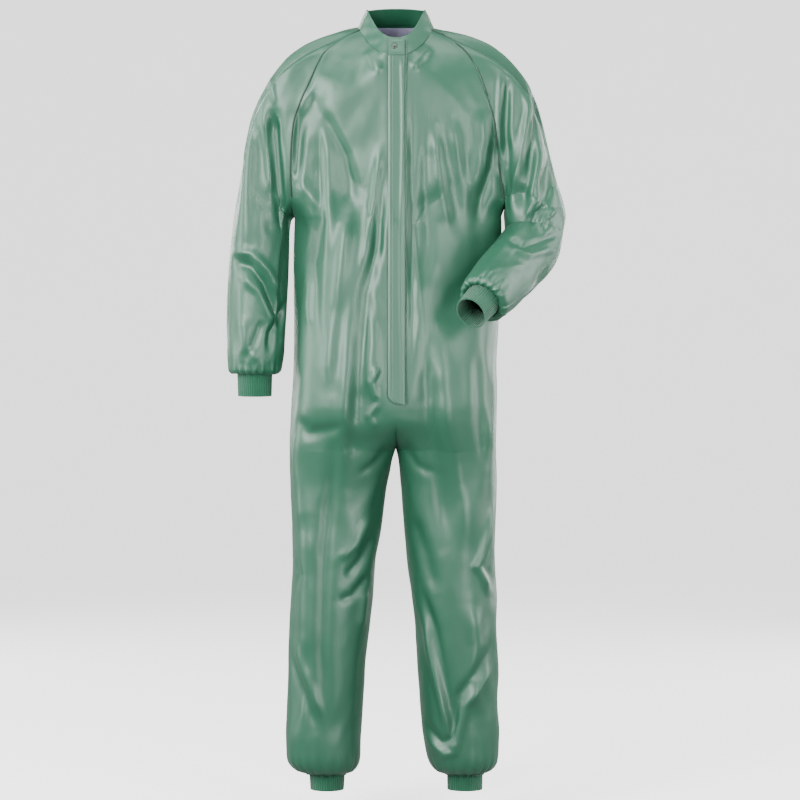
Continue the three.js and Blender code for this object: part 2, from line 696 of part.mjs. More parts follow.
function zipGuard(middle, length) {
  const y = TAPE_FRONT + TAPE_DEPTH + SLIDER_PLATE + 2 * GAP + GUARD_DEPTH / 2;
  return mesh('zip_guard', box(GUARD_WIDTH, GUARD_DEPTH, length, 0, y, middle), satin());
}

// The slider: an H whose two plates lie in front of and behind the teeth, joined by a thin post
// that runs between the two rows.
function zipSlider() {
  const post = TEETH_SPLIT / 2 - GAP;
  const front = SLIDER_FACE;
  const frontInner = front + SLIDER_PLATE;
  const backInner = TAPE_FRONT + TAPE_DEPTH + GAP;
  const back = backInner + SLIDER_PLATE;
  const half = SLIDER_HALF_WIDTH;
  const section = new THREE.Shape([
    [-half, front], [half, front], [half, frontInner], [post, frontInner],
    [post, backInner], [half, backInner], [half, back], [-half, back],
    [-half, backInner], [-post, backInner], [-post, frontInner], [-half, frontInner],
  ].map(([x, y]) => new THREE.Vector2(x, y)));
  const geometry = new THREE.ExtrudeGeometry(section, { depth: SLIDER_LENGTH, bevelEnabled: false });
  geometry.translate(0, 0, SLIDER_TOP - SLIDER_LENGTH);
  return mesh('zip_slider', geometry, steel());
}

// The pull lies flat on the slider's front plate and hangs below it.
function zipPull() {
  const outline = new THREE.Shape();
  const half = PULL_WIDTH / 2;
  outline.moveTo(-half * 0.7, 0);
  outline.lineTo(half * 0.7, 0);
  outline.lineTo(half, -PULL_LENGTH + half);
  outline.absarc(0, -PULL_LENGTH + half, half, 0, -Math.PI, true);
  const options = { depth: PULL_DEPTH, bevelEnabled: false, curveSegments: 10 };
  const geometry = new THREE.ExtrudeGeometry(outline, options);
  geometry.rotateX(Math.PI / 2);
  geometry.translate(0, SLIDER_FACE - GAP, SLIDER_TOP - 2);
  return mesh('zip_pull', geometry, steel());
}

function placket() {
  const group = frontGroup();
  const outline = new THREE.Shape();
  const left = PLACKET_FREE_EDGE;
  const right = PLACKET_FREE_EDGE + PLACKET_WIDTH;
  const round = PLACKET_WIDTH * 0.6;
  outline.moveTo(left, -2);
  outline.lineTo(left, -PLACKET_LENGTH + round);
  outline.absarc(left + round, -PLACKET_LENGTH + round, round, Math.PI, Math.PI * 1.5, false);
  outline.lineTo(right - GAP, -PLACKET_LENGTH);
  outline.lineTo(right - GAP, -2);
  const options = { depth: PLACKET_DEPTH, bevelEnabled: false, curveSegments: 12 };
  const flap = new THREE.ExtrudeGeometry(outline, options);
  flap.rotateX(Math.PI / 2);
  flap.translate(0, -PLACKET_STAND_OFF, 0);
  const baseX = right + GAP + PLACKET_BASE_WIDTH / 2;
  const baseDepth = PLACKET_STAND_OFF - GAP;
  const base = box(
    PLACKET_BASE_WIDTH, baseDepth, PLACKET_LENGTH - 4,
    baseX, -GAP - baseDepth / 2, -2 - PLACKET_LENGTH / 2,
  );
  group.add(mesh('placket_flap', flap, satin()), mesh('placket_base', base, satin()));
  return group;
}

// ---------------------------------------------------------------- collar tab and press stud

// A group that lies in the front of the collar, with +Z up its slope and -Y out of it.
function collarFrontGroup() {
  const group = new THREE.Group();
  group.position.set(0, -FRONT_DEPTH_NECK - SIDE_GAP / 2, NECK_FRONT + COLLAR_SEAT);
  group.rotation.x = -Math.atan(COLLAR_LEAN / COLLAR_HEIGHT);
  return group;
}

function collarTab() {
  const group = collarFrontGroup();
  const right = PLACKET_FREE_EDGE + PLACKET_WIDTH;
  const width = PLACKET_WIDTH - 1;
  const tabInner = -GAP - STUD_HEIGHT - GAP - STUD_HEIGHT - GAP;
  const tabX = right - GAP - width / 2;
  const tabZ = TAB_LIFT + TAB_HEIGHT / 2;
  const baseDepth = -tabInner - GAP;
  group.add(
    mesh('snap_stud', disc(STUD_RADIUS * 0.8, STUD_HEIGHT, STUD_X, -GAP - STUD_HEIGHT / 2, STUD_Z), steel()),
    mesh(
      'snap_socket',
      disc(STUD_RADIUS, STUD_HEIGHT, STUD_X, -2 * GAP - STUD_HEIGHT * 1.5, STUD_Z),
      steel(),
    ),
    mesh('collar_tab', box(width, TAB_DEPTH, TAB_HEIGHT, tabX, tabInner - TAB_DEPTH / 2, tabZ), satin()),
    mesh(
      'snap_cap',
      disc(CAP_RADIUS, CAP_HEIGHT, STUD_X, tabInner - TAB_DEPTH - GAP - CAP_HEIGHT / 2, STUD_Z),
      steel(),
    ),
    mesh(
      'collar_tab_base',
      box(PLACKET_BASE_WIDTH, baseDepth, TAB_HEIGHT, right + GAP + PLACKET_BASE_WIDTH / 2, -GAP - baseDepth / 2, tabZ),
      satin(),
    ),
  );
  return group;
}

// ---------------------------------------------------------------- the whole suit

function body() {
  const group = new THREE.Group();
  for (const [word, side] of [['right', -1], ['left', 1]]) {
    group.add(
      bodyPanel(`front_panel_${word}`, FRONT, side, frontEdge),
      bodyPanel(`back_panel_${word}`, BACK, side, () => GAP),
      raglanPiping(`raglan_piping_front_${word}`, FRONT, side),
      raglanPiping(`raglan_piping_back_${word}`, BACK, side),
    );
  }
  group.add(
    collarBand('collar', 0, FABRIC, 0, COLLAR_HEIGHT, satin()),
    collarBand('collar_lining', -FABRIC - GAP, 1, 1, COLLAR_HEIGHT - 1, satin()),
    backNeckFacing(),
  );
  return group;
}

const suit = new THREE.Group();
suit.add(body(), sleeves(), legs(), zip(), placket(), collarTab());
suit.position.z = -NECK_SIDE;

export default suit;
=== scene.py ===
"""A woven satin coverall with raglan sleeves, a stand collar, a zip under a storm placket and
knitted cuffs, hung as on a wearer whose left arm is bent in front of the hip.

Shapes are worked out in millimetres from the hem of the ankle cuffs, +Z up, the front facing -Y,
and are put in the frame, whose origin is the middle of the neck opening, when a mesh is made."""
import json
import math

import bmesh
import bpy
import numpy as np
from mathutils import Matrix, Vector

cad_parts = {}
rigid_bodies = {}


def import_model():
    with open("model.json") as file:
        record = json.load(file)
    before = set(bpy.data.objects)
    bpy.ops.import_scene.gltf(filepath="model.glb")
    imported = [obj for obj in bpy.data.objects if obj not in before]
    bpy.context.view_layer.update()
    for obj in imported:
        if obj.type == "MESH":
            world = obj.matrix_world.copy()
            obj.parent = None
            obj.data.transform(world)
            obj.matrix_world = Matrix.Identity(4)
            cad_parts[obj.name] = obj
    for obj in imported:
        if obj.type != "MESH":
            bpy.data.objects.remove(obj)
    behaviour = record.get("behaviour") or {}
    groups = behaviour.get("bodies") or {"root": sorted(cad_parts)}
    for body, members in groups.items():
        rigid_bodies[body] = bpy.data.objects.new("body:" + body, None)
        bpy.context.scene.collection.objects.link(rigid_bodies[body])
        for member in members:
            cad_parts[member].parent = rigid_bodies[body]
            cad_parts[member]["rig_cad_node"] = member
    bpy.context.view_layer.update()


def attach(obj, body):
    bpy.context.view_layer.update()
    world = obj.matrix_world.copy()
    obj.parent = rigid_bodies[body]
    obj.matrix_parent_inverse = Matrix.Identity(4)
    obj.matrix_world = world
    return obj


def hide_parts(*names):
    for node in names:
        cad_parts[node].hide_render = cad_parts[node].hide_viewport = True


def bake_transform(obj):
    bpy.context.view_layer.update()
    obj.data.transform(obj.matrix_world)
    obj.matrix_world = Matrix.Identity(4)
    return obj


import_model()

bl_info = {
    "name": "Woven coverall",
    "version": (1, 0, 0),
    "blender": (4, 5, 0),
    "location": "View3D > Sidebar > Coverall",
    "description": "Builds a woven coverall with its cloth, cuffs, zip, placket and collar",
    "category": "Add Mesh",
}

# ------------------------------------------------------------------ the suit's own heights, mm
ANKLE_CUFF = 34
CROTCH = 684
CROTCH_ARCH = 70
MID_THIGH = 548
UNDERARM = 1140
NECK_FRONT = 1470
NECK_SIDE = 1522
NECK_BACK = 1530
LEG_HEM = 33
LEG_DRAW = 84
ANKLE_X = 138.5
ANKLE_RADIUS = 35

BODY_WIDTH = 203
NECK_WIDTH = 72
SECTION_POWER = 2.2
FRONT_DEPTH_NECK = 92.45
FRONT_TILT = math.atan(46 / 646)
FRONT_EDGE = 4.8
ZIP_TOP_ROOM = 12
ZIP_LENGTH = 664
ZIP_BOTTOM = NECK_FRONT - ZIP_TOP_ROOM - ZIP_LENGTH
PLACKET_FREE_EDGE = -15
PLACKET_WIDTH = 33
PLACKET_LENGTH = 688
PLACKET_SEWN_EDGE = PLACKET_FREE_EDGE + PLACKET_WIDTH - 0.4
PLACKET_STAND_OFF = 6
COLLAR_HEIGHT = 32
COLLAR_LEAN = 16
COLLAR_SEAT = 2
COLLAR_SPLIT = 8
COLLAR_MIDDLE = -12.0
COLLAR_TILT = math.atan(COLLAR_LEAN / COLLAR_HEIGHT)
SNAP_UP = 13.5
SNAP_X = -3.0
SNAP_SIDES = 40
# A stud's profile as (share of the radius, share of the height, and a little added in mm).
SNAP_DOMED = ((0.9, 0, 0), (1, 0, 0.25), (1, 0.45, 0), (0.94, 0.7, 0), (0.8, 0.82, 0),
              (0.72, 0.7, 0), (0.62, 0.78, 0), (0.4, 0.95, 0))
SNAP_FLAT = ((0.95, 0, 0), (1, 0, 0.3), (1, 0.8, 0), (0.9, 1, 0), (0.6, 1, 0), (0.5, 0.6, 0))
SIDES = (("right", -1), ("left", 1))

# Sleeves: where the arm bends, and which way the cloth runs above and below it.
STRAIGHT_TOP = np.array((-270.0, -8.0, 1112.0))
BENT_PIVOT = np.array((284.0, -27.0, 1108.0))
BENT_UPPER = np.array((0.22, -0.04, -0.97))
BENT_LOWER = np.array((-0.48, -0.73, -0.49))
BENT_REACH = 52
BENT_FOREARM = 190
STRAIGHT_DROP = 272
STRAIGHT_CUFF = np.array((-282.0, -8.0, STRAIGHT_TOP[2] - STRAIGHT_DROP))
SLEEVE_RADIUS = 60
SLEEVE_HEM_RADIUS = 51
WRIST_RADIUS = 34
WRIST_CUFF = 48
KNIT = 2.4
CUFF_TUCK = 6
HEM_SHARES = (0.3, 0.6, 0.85, 1.0)

# How the cloth hangs: a form inside it, nearer at the chest, and the settings of the hanging.
FORM_INSET = 26
FORM_INSET_CHEST = 6
SOFTENING_ROUNDS = 10
CLOTH_SETTINGS = {
    "quality": 5, "mass": 0.12, "tension_stiffness": 18, "compression_stiffness": 12,
    "shear_stiffness": 6, "bending_stiffness": 6.0, "vertex_group_mass": "held",
    "pin_stiffness": 1.0, "shrink_min": -0.008}
CLOTH_GRAVITY = 0.1
CLOTH_GAP = 0.002


# ------------------------------------------------------------------ what a user may change
class CoverallSizes(bpy.types.PropertyGroup):
    thickness: bpy.props.FloatProperty(
        name="Cloth thickness", description="Thickness of the body cloth",
        default=0.0009, min=0.0003, max=0.002, unit="LENGTH")
    fold_depth: bpy.props.FloatProperty(
        name="Fold depth", description="How deep the folds are, as a share of the usual depth",
        default=1.0, min=0.0, max=2.0, subtype="FACTOR")
    thread_pitch: bpy.props.FloatProperty(
        name="Thread pitch", description="Spacing of the dark conductive threads",
        default=0.0058, min=0.002, max=0.02, unit="LENGTH")
    drape_frames: bpy.props.IntProperty(
        name="Drape frames", description="Frames that the cloth hangs for, none to leave it as cut",
        default=12, min=0, max=60)


def colour_property(name, text, hexed):
    """A colour that a user may change, from its sRGB hex value."""
    return bpy.props.FloatVectorProperty(
        name=name, description=text, subtype="COLOR", size=4, min=0, max=1,
        default=linear(hexed))


def linear(hexed):
    """sRGB hex to linear colour: c/12.92 below 0.04045, else ((c + 0.055) / 1.055) ^ 2.4."""
    c = np.array([int(hexed[i:i + 2], 16) for i in (1, 3, 5)]) / 255
    lin = np.where(c <= 0.04045, c / 12.92, ((c + 0.055) / 1.055) ** 2.4)
    return (*(float(v) for v in lin), 1.0)


class CoverallColours(bpy.types.PropertyGroup):
    satin: colour_property("Satin", "Colour of the body cloth", "#1C583F")
    thread: colour_property("Conductive thread", "Colour of the dark grid thread", "#1F4A38")
    knit: colour_property("Knit", "Colour of the knitted cuffs", "#176244")
    piping: colour_property("Piping", "Colour of the piping", "#16382A")
    facing: colour_property("Facing", "Colour of the back neck facing", "#A9A2C4")
    tape: colour_property("Zip tape", "Colour of the zip tape", "#3E7359")
    teeth: colour_property("Zip teeth", "Colour of the zip teeth", "#2F6149")
    metal: colour_property("Metal", "Colour of the slider and studs", "#55635A")


# ------------------------------------------------------------------ numbers along a line
def smooth(stations, at):
    """A size through [place, size] pairs: cubic pieces whose slope at each pair is the harmonic
    mean of the slopes either side, and level where the size turns, so it never overshoots."""
    x, y = np.array(stations, float).T
    d = np.diff(y) / np.diff(x)
    turn = d[:-1] * d[1:]
    total = np.where(turn > 0, d[:-1] + d[1:], 1.0)
    m = np.concatenate([[d[0]], np.where(turn > 0, 2 * turn / total, 0.0), [d[-1]]])
    at = np.clip(np.asarray(at, float), x[0], x[-1])
    i = np.clip(np.searchsorted(x, at) - 1, 0, len(x) - 2)
    h = x[i + 1] - x[i]
    t = (at - x[i]) / h
    t2, t3 = t * t, t * t * t
    return (y[i] * (2 * t3 - 3 * t2 + 1) + y[i + 1] * (3 * t2 - 2 * t3)
            + m[i] * h * (t3 - 2 * t2 + t) + m[i + 1] * h * (t3 - t2))


def ease(low, high, value):
    """0 below low, 1 above high, and 3t^2 - 2t^3 between."""
    t = np.clip((value - low) / (high - low), 0, 1)
    return t * t * (3 - 2 * t)


def unit(v):
    """Each vector divided by its length."""
    v = np.asarray(v, float)
    return v / np.maximum(np.linalg.norm(v, axis=-1, keepdims=True), 1e-12)


def lengths_along(line):
    """How far along a line each of its points is."""
    return np.concatenate([[0], np.cumsum(np.linalg.norm(np.diff(line, axis=0), axis=1))])


def at_lengths(at, along, line):
    """Points of a line at the given lengths along it."""
    return np.stack([np.interp(at, along, line[:, k]) for k in range(3)], -1)


def even_steps(line, count):
    """A line as a number of points in even steps along it."""
    along = lengths_along(line)
    return at_lengths(np.linspace(0, along[-1], count), along, line)


def pieces_along(*runs):
    """Even steps joined end to end: each run is (from, to, count), ends shared."""
    parts = [np.linspace(a, b, n + 1)[:-1] for a, b, n in runs]
    return np.concatenate([*parts, [runs[-1][1]]])


# ------------------------------------------------------------------ the body's surface
OUTER = {
    -1: [[30, 205], [60, 219], [110, 221], [160, 219], [234, 216], [342, 211], [460, 205],
         [592, 208], [692, 211], [772, 210], [874, 206], [936, 200], [1016, 198], [1140, 202]],
    1: [[30, 194], [56, 204], [112, 206], [188, 202], [250, 204], [356, 202], [460, 197],
        [592, 201], [692, 204], [824, 206], [1016, 206], [1114, 205], [1140, 204]],
}
YOKE_OUTER = [[1140, 203], [1280, 242], [1342, 250], [1410, 243], [1474, 208], [1494, 172],
              [1522, 96], [1530, 84]]
INNER = {
    -1: [[30, 74], [54, 72], [134, 70], [264, 61], [382, 49], [460, 42], [526, 35], [592, 27],
         [640, 17], [684, 0.5]],
    1: [[30, 70], [50, 66], [102, 56], [158, 51], [250, 43], [326, 39], [392, 32], [460, 27],
        [542, 21], [632, 13], [684, 0.5]],
}
FLAT = [[30, 142], [200, 130], [684, 108], [960, 60], [1140, 45], [1470, 30], [1530, 20]]


def front_line(height):
    """Depth of the front edge, which leans forward going down."""
    return FRONT_DEPTH_NECK - 0.45 + (NECK_FRONT - height) * math.tan(FRONT_TILT)


FRONT_DEPTH = [[30, 70], [200, 80], [395, 90], [608, 102], [684, 116], [754, front_line(754) - 6],
               [782, front_line(782)], [1126, front_line(1126)], [1470, 92], [1500, 57],
               [1522, 37]]
FRONT_DEPTH_SIDE = [[1126, front_line(1126)], [1300, 105], [1380, 99], [1430, 90], [1470, 74],
                    [1500, 54], [1522, 37]]
BACK_DEPTH = [[30, 76], [200, 84], [395, 90], [608, 110], [684, 120], [774, 130], [960, 112],
              [1140, 118], [1280, 123], [1400, 109], [1470, 84], [1530, 60]]
RAGLAN_FRONT = [[1140, 203], [1200, 205], [1280, 206], [1342, 202], [1410, 179], [1476, 144],
                [1514, 92], [1522, 72]]
RAGLAN_BACK = [[1140, 203], [1230, 203], [1340, 191], [1420, 161], [1490, 114], [1526, 68]]
FRONT = {"sign": -1, "depth": FRONT_DEPTH, "raglan": RAGLAN_FRONT,
         "middle": NECK_FRONT, "side": NECK_SIDE}
BACK = {"sign": 1, "depth": BACK_DEPTH, "raglan": RAGLAN_BACK,
        "middle": NECK_BACK, "side": NECK_SIDE + 4}

PANEL_COLUMNS = 40
YOKE_ROWS = 42
NECK_EDGE = 9


def power(value, exponent):
    return np.maximum(value, 0) ** exponent


def outer_half(side, height):
    """Half width to the side seam, and above the underarm to where the yoke would fall away."""
    return np.where(height > UNDERARM, smooth(YOKE_OUTER, height), smooth(OUTER[side], height))


def flat_half(side, height):
    """Where the section is deepest: the middle of the thigh below, nearer the middle above."""
    centre = (smooth(OUTER[side], height) + smooth(INNER[side], height)) / 2
    share = ease(CROTCH - 120, CROTCH, height)
    return centre * (1 - share) + smooth(FLAT, height) * share


def surface_depth(face, side, x, height):
    """Superellipse: y = depth (1 - ((x - flat) / (half - flat))^p)^(1/p) beyond the flat part."""
    flat, half = smooth(FLAT, height), outer_half(side, height)
    beyond = np.clip((x - flat) / (half - flat), 0, 1)
    p = SECTION_POWER
    depth = smooth(face["depth"], height)
    if face["sign"] < 0:
        rounded = smooth(FRONT_DEPTH_SIDE, height)
        depth = depth + (rounded - depth) * ease(14, 84, x) * ease(1130, 1200, height)
    return depth * power(1 - beyond ** p, 1 / p)


def lower_rows(face, side, height, column, middle_edge):
    """Rows from the middle or inseam out to the side seam: two superellipse quarters that meet
    at the flat part, the inner one opened above the crotch by a quarter circle."""
    z, u = height[:, None], column[None, :]
    p = SECTION_POWER
    flat, half, depth = flat_half(side, z), outer_half(side, z), smooth(face["depth"], z)
    inner = np.where(z > CROTCH, middle_edge, smooth(INNER[side], z))
    rise = np.clip((z - CROTCH) / CROTCH_ARCH, 0, 1)
    opening = np.sqrt(1 - (1 - rise) ** 2)
    deepest = power(1 - opening ** p, 1 / p)
    angle = (2 * u - 1) * math.pi / 2
    reach = np.abs(np.sin(angle)) ** (2 / p)
    out_y = depth * power(np.cos(angle), 2 / p)
    in_y = depth * power(1 - (reach * deepest) ** p, 1 / p)
    x = np.where(u > 0.5, flat + (half - flat) * reach, flat - (flat - inner) * reach)
    y = np.where(u > 0.5, out_y, in_y)
    return np.stack([side * x, face["sign"] * y, z + 0 * x], -1)


def yoke_rows(face, side, climb, column, middle_edge):
    """Rows above the underarm, out to the raglan seam: each row climbs from the middle towards
    the seam as the 2.5th power of its distance out."""
    t, u = climb[:, None], column[None, :]
    p = SECTION_POWER
    mid_z = UNDERARM + (face["middle"] - UNDERARM) * t
    side_z = UNDERARM + (face["side"] - UNDERARM) * t
    edge = smooth(face["raglan"], side_z)
    yoke_share = np.sin(u * math.pi / 2) ** (2 / p)
    flat = smooth(FLAT, UNDERARM) / BODY_WIDTH
    angle = (2 * u - 1) * math.pi / 2
    reach = np.abs(np.sin(angle)) ** (2 / p)
    body_share = np.where(u > 0.5, flat + (1 - flat) * reach, flat - flat * reach)
    turned = ease(0, 0.35, t)
    share = body_share * (1 - turned) + yoke_share * turned
    x = middle_edge + (edge - middle_edge) * share
    z = mid_z + (side_z - mid_z) * (x / edge) ** 2.5
    fitted = surface_depth(face, side, x, z)
    out = np.clip((x - smooth(FLAT, UNDERARM)) / (edge - smooth(FLAT, UNDERARM)), 0, 1)
    plain = smooth(face["depth"], z) * power(1 - out ** p, 1 / p)
    near = ease(0.0, 0.12, t)
    y = plain * (1 - near) + fitted * near
    return np.stack([side * x, face["sign"] * y, z], -1)


def panel(face, side):
    """A front or back half from mid thigh to the neck seam."""
    column = np.linspace(0, 1, PANEL_COLUMNS + 1)
    arch = CROTCH + CROTCH_ARCH * np.linspace(0, 1, 11) ** 1.4
    heights = np.concatenate([
        np.linspace(MID_THIGH, CROTCH, 17)[:-1], arch[:-1],
        pieces_along((CROTCH + CROTCH_ARCH, ZIP_BOTTOM, 4), (ZIP_BOTTOM, UNDERARM, 42))])
    open_front = face["sign"] < 0
    closing = ease(ZIP_BOTTOM - 12, ZIP_BOTTOM - 1, heights)[:, None]
    low = lower_rows(face, side, heights, column, FRONT_EDGE * closing if open_front else 0.0)
    climb = np.linspace(0, 1, YOKE_ROWS + 1)[1:]
    high = yoke_rows(face, side, climb, column, FRONT_EDGE if open_front else 0.0)
    return np.concatenate([low, high])


def lower_leg(side):
    """A leg from mid thigh to its gathered hem: rings of superellipse quarters, front then back,
    which draw in on a rounded curve near the hem and then tuck in to the ankle cuff."""
    column = np.linspace(0, 1, PANEL_COLUMNS + 1)
    heights = pieces_along((MID_THIGH, LEG_DRAW, 56), (LEG_DRAW, LEG_HEM, 10))
    front = lower_rows(FRONT, side, heights, column, 0.0)
    back = lower_rows(BACK, side, heights, column, 0.0)
    ring = np.concatenate([front, back[:, -2:0:-1]], 1)
    middle = np.array((side * ANKLE_X, 0, 0.0))
    tuck = np.clip((LEG_DRAW - heights) / (LEG_DRAW - LEG_HEM), 0, 1)[:, None, None]
    shrink = 1 - 0.42 * (1 - np.sqrt(np.maximum(1 - tuck ** 3.2, 0)))
    drawn = middle + (ring - middle) * np.concatenate(
        [shrink, shrink, np.ones_like(shrink)], -1)
    end = drawn[-1:]
    around = end - middle
    angle = np.arctan2(around[..., 1], around[..., 0])
    cuff = ANKLE_RADIUS + 2
    goal = np.stack([side * ANKLE_X + cuff * np.cos(angle), cuff * np.sin(angle),
                     np.full_like(angle, ANKLE_CUFF + 2)], -1)
    last = [end * (1 - t) + goal * t + np.array((0, 0, -3.5 * math.sin(math.pi * t)))
            for t in HEM_SHARES]
    return np.concatenate([drawn, *last])


# ------------------------------------------------------------------ sleeves
def armhole(side):
    """The raglan seam from the underarm up the front, over the neck edge and down the back, with
    the way the cloth leaves it: sideways at the underarm, above as the body's surface runs on."""
    column = np.linspace(0, 1, PANEL_COLUMNS + 1)
    climb = np.linspace(0, 1, YOKE_ROWS + 1)
    sideways = unit((side, 0, -0.2))
    falling = -0.16 * ease(0.5, 1.0, climb)
    level = 1 - ease(0.45, 0.95, climb)
    found = []
    for face in (FRONT, BACK):
        edge = FRONT_EDGE if face["sign"] < 0 else 0.0
        rows = yoke_rows(face, side, climb, column, edge)
        onward = unit(rows[:, -1] - rows[:, -3])
        onward[:, 1] = np.clip(onward[:, 1], -0.4, 0.4) * level
        onward[:, 2] = np.minimum(onward[:, 2], falling)
        share = ease(0.05, 0.6, climb)[:, None]
        found.append((rows[:, -1], unit(sideways * (1 - share) + onward * share)))
    (front, front_way), (back, back_way) = found
    t = np.linspace(0, 1, NECK_EDGE + 2)[1:-1, None]
    over = front[-1] * (1 - t) + back[-1] * t
    over = over + np.sin(math.pi * t) * np.array((side * 4.0, 0, 3.0))
    seam = np.concatenate([front, over, back[:0:-1]])
    over_way = np.repeat(unit((side, 0, -0.16))[None], NECK_EDGE, 0)
    away = np.concatenate([front_way, over_way, back_way[:0:-1]])
    return seam, away


def ring_angles(seam):
    """Each seam point's turn round the sleeve: its share of the seam's length."""
    closed = np.concatenate([seam, seam[:1]])
    step = np.linalg.norm(np.diff(closed, axis=0), axis=1)
    return np.concatenate([[0], np.cumsum(step)[:-1]]) / step.sum() * 2 * math.pi


def hermite(start, leave, end, arrive, s):
    """Cubic from start to end with those end directions, each row at one share s."""
    s = s[:, None, None]
    s2, s3 = s * s, s * s * s
    return (start * (2 * s3 - 3 * s2 + 1) + leave * (s3 - 2 * s2 + s)
            + end * (3 * s2 - 2 * s3) + arrive * (s3 - s2))


def cap_rows(seam, away, ring, direction, fullness, count):
    """The sleeve's top: from each armhole point out over the shoulder and down to a ring, fuller
    along its top edge than underneath."""
    top = np.maximum(-np.cos(ring_angles(seam)), 0)[:, None]
    fullness = 1 + (fullness - 1) * top
    reach = np.linalg.norm(ring - seam, axis=1)[:, None]
    s = np.linspace(0, 1, count + 1)
    return hermite(seam, away * reach * fullness, ring, direction * reach * fullness, s)


def hem_profile(length, full, hem, cuff):
    """Radius along a forearm: full, narrowing to the hem, a soft bag, then in to the cuff."""
    return [[0, full], [0.45 * length, full - 1], [length - 42, hem + 5], [length - 16, hem + 2],
            [length - 5, hem], [length, hem - 4]]


def straight_sleeve():
    """The hanging sleeve: its centre line drifts outwards going down."""
    side = -1
    seam, away = armhole(side)
    angle = ring_angles(seam)[None, :, None]
    across, forward = np.array((1.0, 0, 0)), np.array((0, -1.0, 0))
    down = np.array((-0.03, 0, -1.0))
    length = STRAIGHT_DROP
    centre = [[0, -270], [120, -276], [length, -282]]
    stations = pieces_along((0, length - 30, 30), (length - 30, length, 8))

    def ring(distance):
        radius = smooth(hem_profile(length, SLEEVE_RADIUS - 2, SLEEVE_HEM_RADIUS, WRIST_RADIUS),
                        distance)
        middle = np.stack([smooth(centre, distance), np.full_like(distance, STRAIGHT_TOP[1]),
                           STRAIGHT_TOP[2] - distance], -1)[:, None]
        r = radius[:, None, None]
        return middle + r * (np.cos(angle) * across + np.sin(angle) * forward)

    top = cap_rows(seam, away, ring(np.zeros(1))[0], down, 1.2, 44)
    rows = ring(stations)
    last = hem_tuck(rows[-1], STRAIGHT_CUFF, np.array((0, 0, -1.0)), WRIST_RADIUS + 2)
    return np.concatenate([top[:-1], rows, last])


def hem_tuck(end, middle, direction, radius):
    """The hem turned in to the cuff: each point moves to the cuff's circle and back up a little."""
    out = end - middle
    goal = middle + unit(out - (out @ direction)[:, None] * direction) * radius - direction * 2
    return np.stack([end * (1 - t) + goal * t + direction * 3.0 * math.sin(math.pi * t)
                     for t in HEM_SHARES])


def bent_axes():
    """Directions above and below the elbow, and the bend's own axis."""
    upper, lower = unit(BENT_UPPER), unit(BENT_LOWER)
    return upper, lower, unit(np.cross(upper, lower))


def bent_sleeve():
    """The bent sleeve: two tubes that meet on the plane that halves the bend, rounded along their
    length by replacing |t| with sqrt(t^2 + r^2) - r, where r is larger on the outside."""
    side = 1
    seam, away = armhole(side)
    angle = ring_angles(seam)
    upper, lower, axis = bent_axes()
    across = unit(np.cross((0, 1.0, 0), upper))
    forward = np.cross(across, upper)
    bend = math.acos(float(upper @ lower))
    inward = np.cross(axis, upper)
    radial = np.cos(angle)[:, None] * across + np.sin(angle)[:, None] * forward
    along_in = radial @ inward
    along_axis = radial @ axis
    lower_in = np.cross(axis, lower)
    length = BENT_REACH + BENT_FOREARM
    reach = 96.0
    t = np.concatenate([np.linspace(-reach, 70, 34)[:-1],
                        pieces_along((70, length - 30, 16), (length - 30, length, 8))])
    radius = np.where(t < 0, SLEEVE_RADIUS + 3.0,
                      smooth(hem_profile(length, SLEEVE_RADIUS + 3, SLEEVE_HEM_RADIUS,
                                         WRIST_RADIUS), np.maximum(t, 0)))[:, None, None]
    mitre = np.tan(bend / 2) * along_in[None, :, None] * radius
    tt = t[:, None, None]
    round_off = (9.0 + 6.0 * ease(0.1, 1.0, -along_in))[None, :, None]
    u = tt + 0 * mitre
    knee = 0.5 * (np.sqrt(u * u + round_off ** 2) - np.abs(u))
    up_part = np.minimum(u, 0) - knee
    low_part = np.maximum(u, 0) + knee
    fade_up = np.clip((u + reach) / reach, 0, 1)
    fade_low = np.clip((length - u) / length, 0, 1)
    fade = np.where(u < 0, fade_up, fade_low)
    base = along_axis[None, :, None] * radius * axis
    upper_tube = base + along_in[None, :, None] * radius * inward
    lower_tube = base + along_in[None, :, None] * radius * lower_in
    share = ease(-round_off, round_off, u)
    tube = upper_tube * (1 - share) + lower_tube * share
    slant = mitre * fade * (upper * (1 - share) - lower * share)
    rows = BENT_PIVOT + tube + upper * up_part + lower * low_part + slant
    top = cap_rows(seam, away, rows[0], upper, 1.4, 34)
    middle = BENT_PIVOT + lower * length
    last = hem_tuck(rows[-1], middle, lower, WRIST_RADIUS + 2)
    return np.concatenate([top[:-1], rows, last])


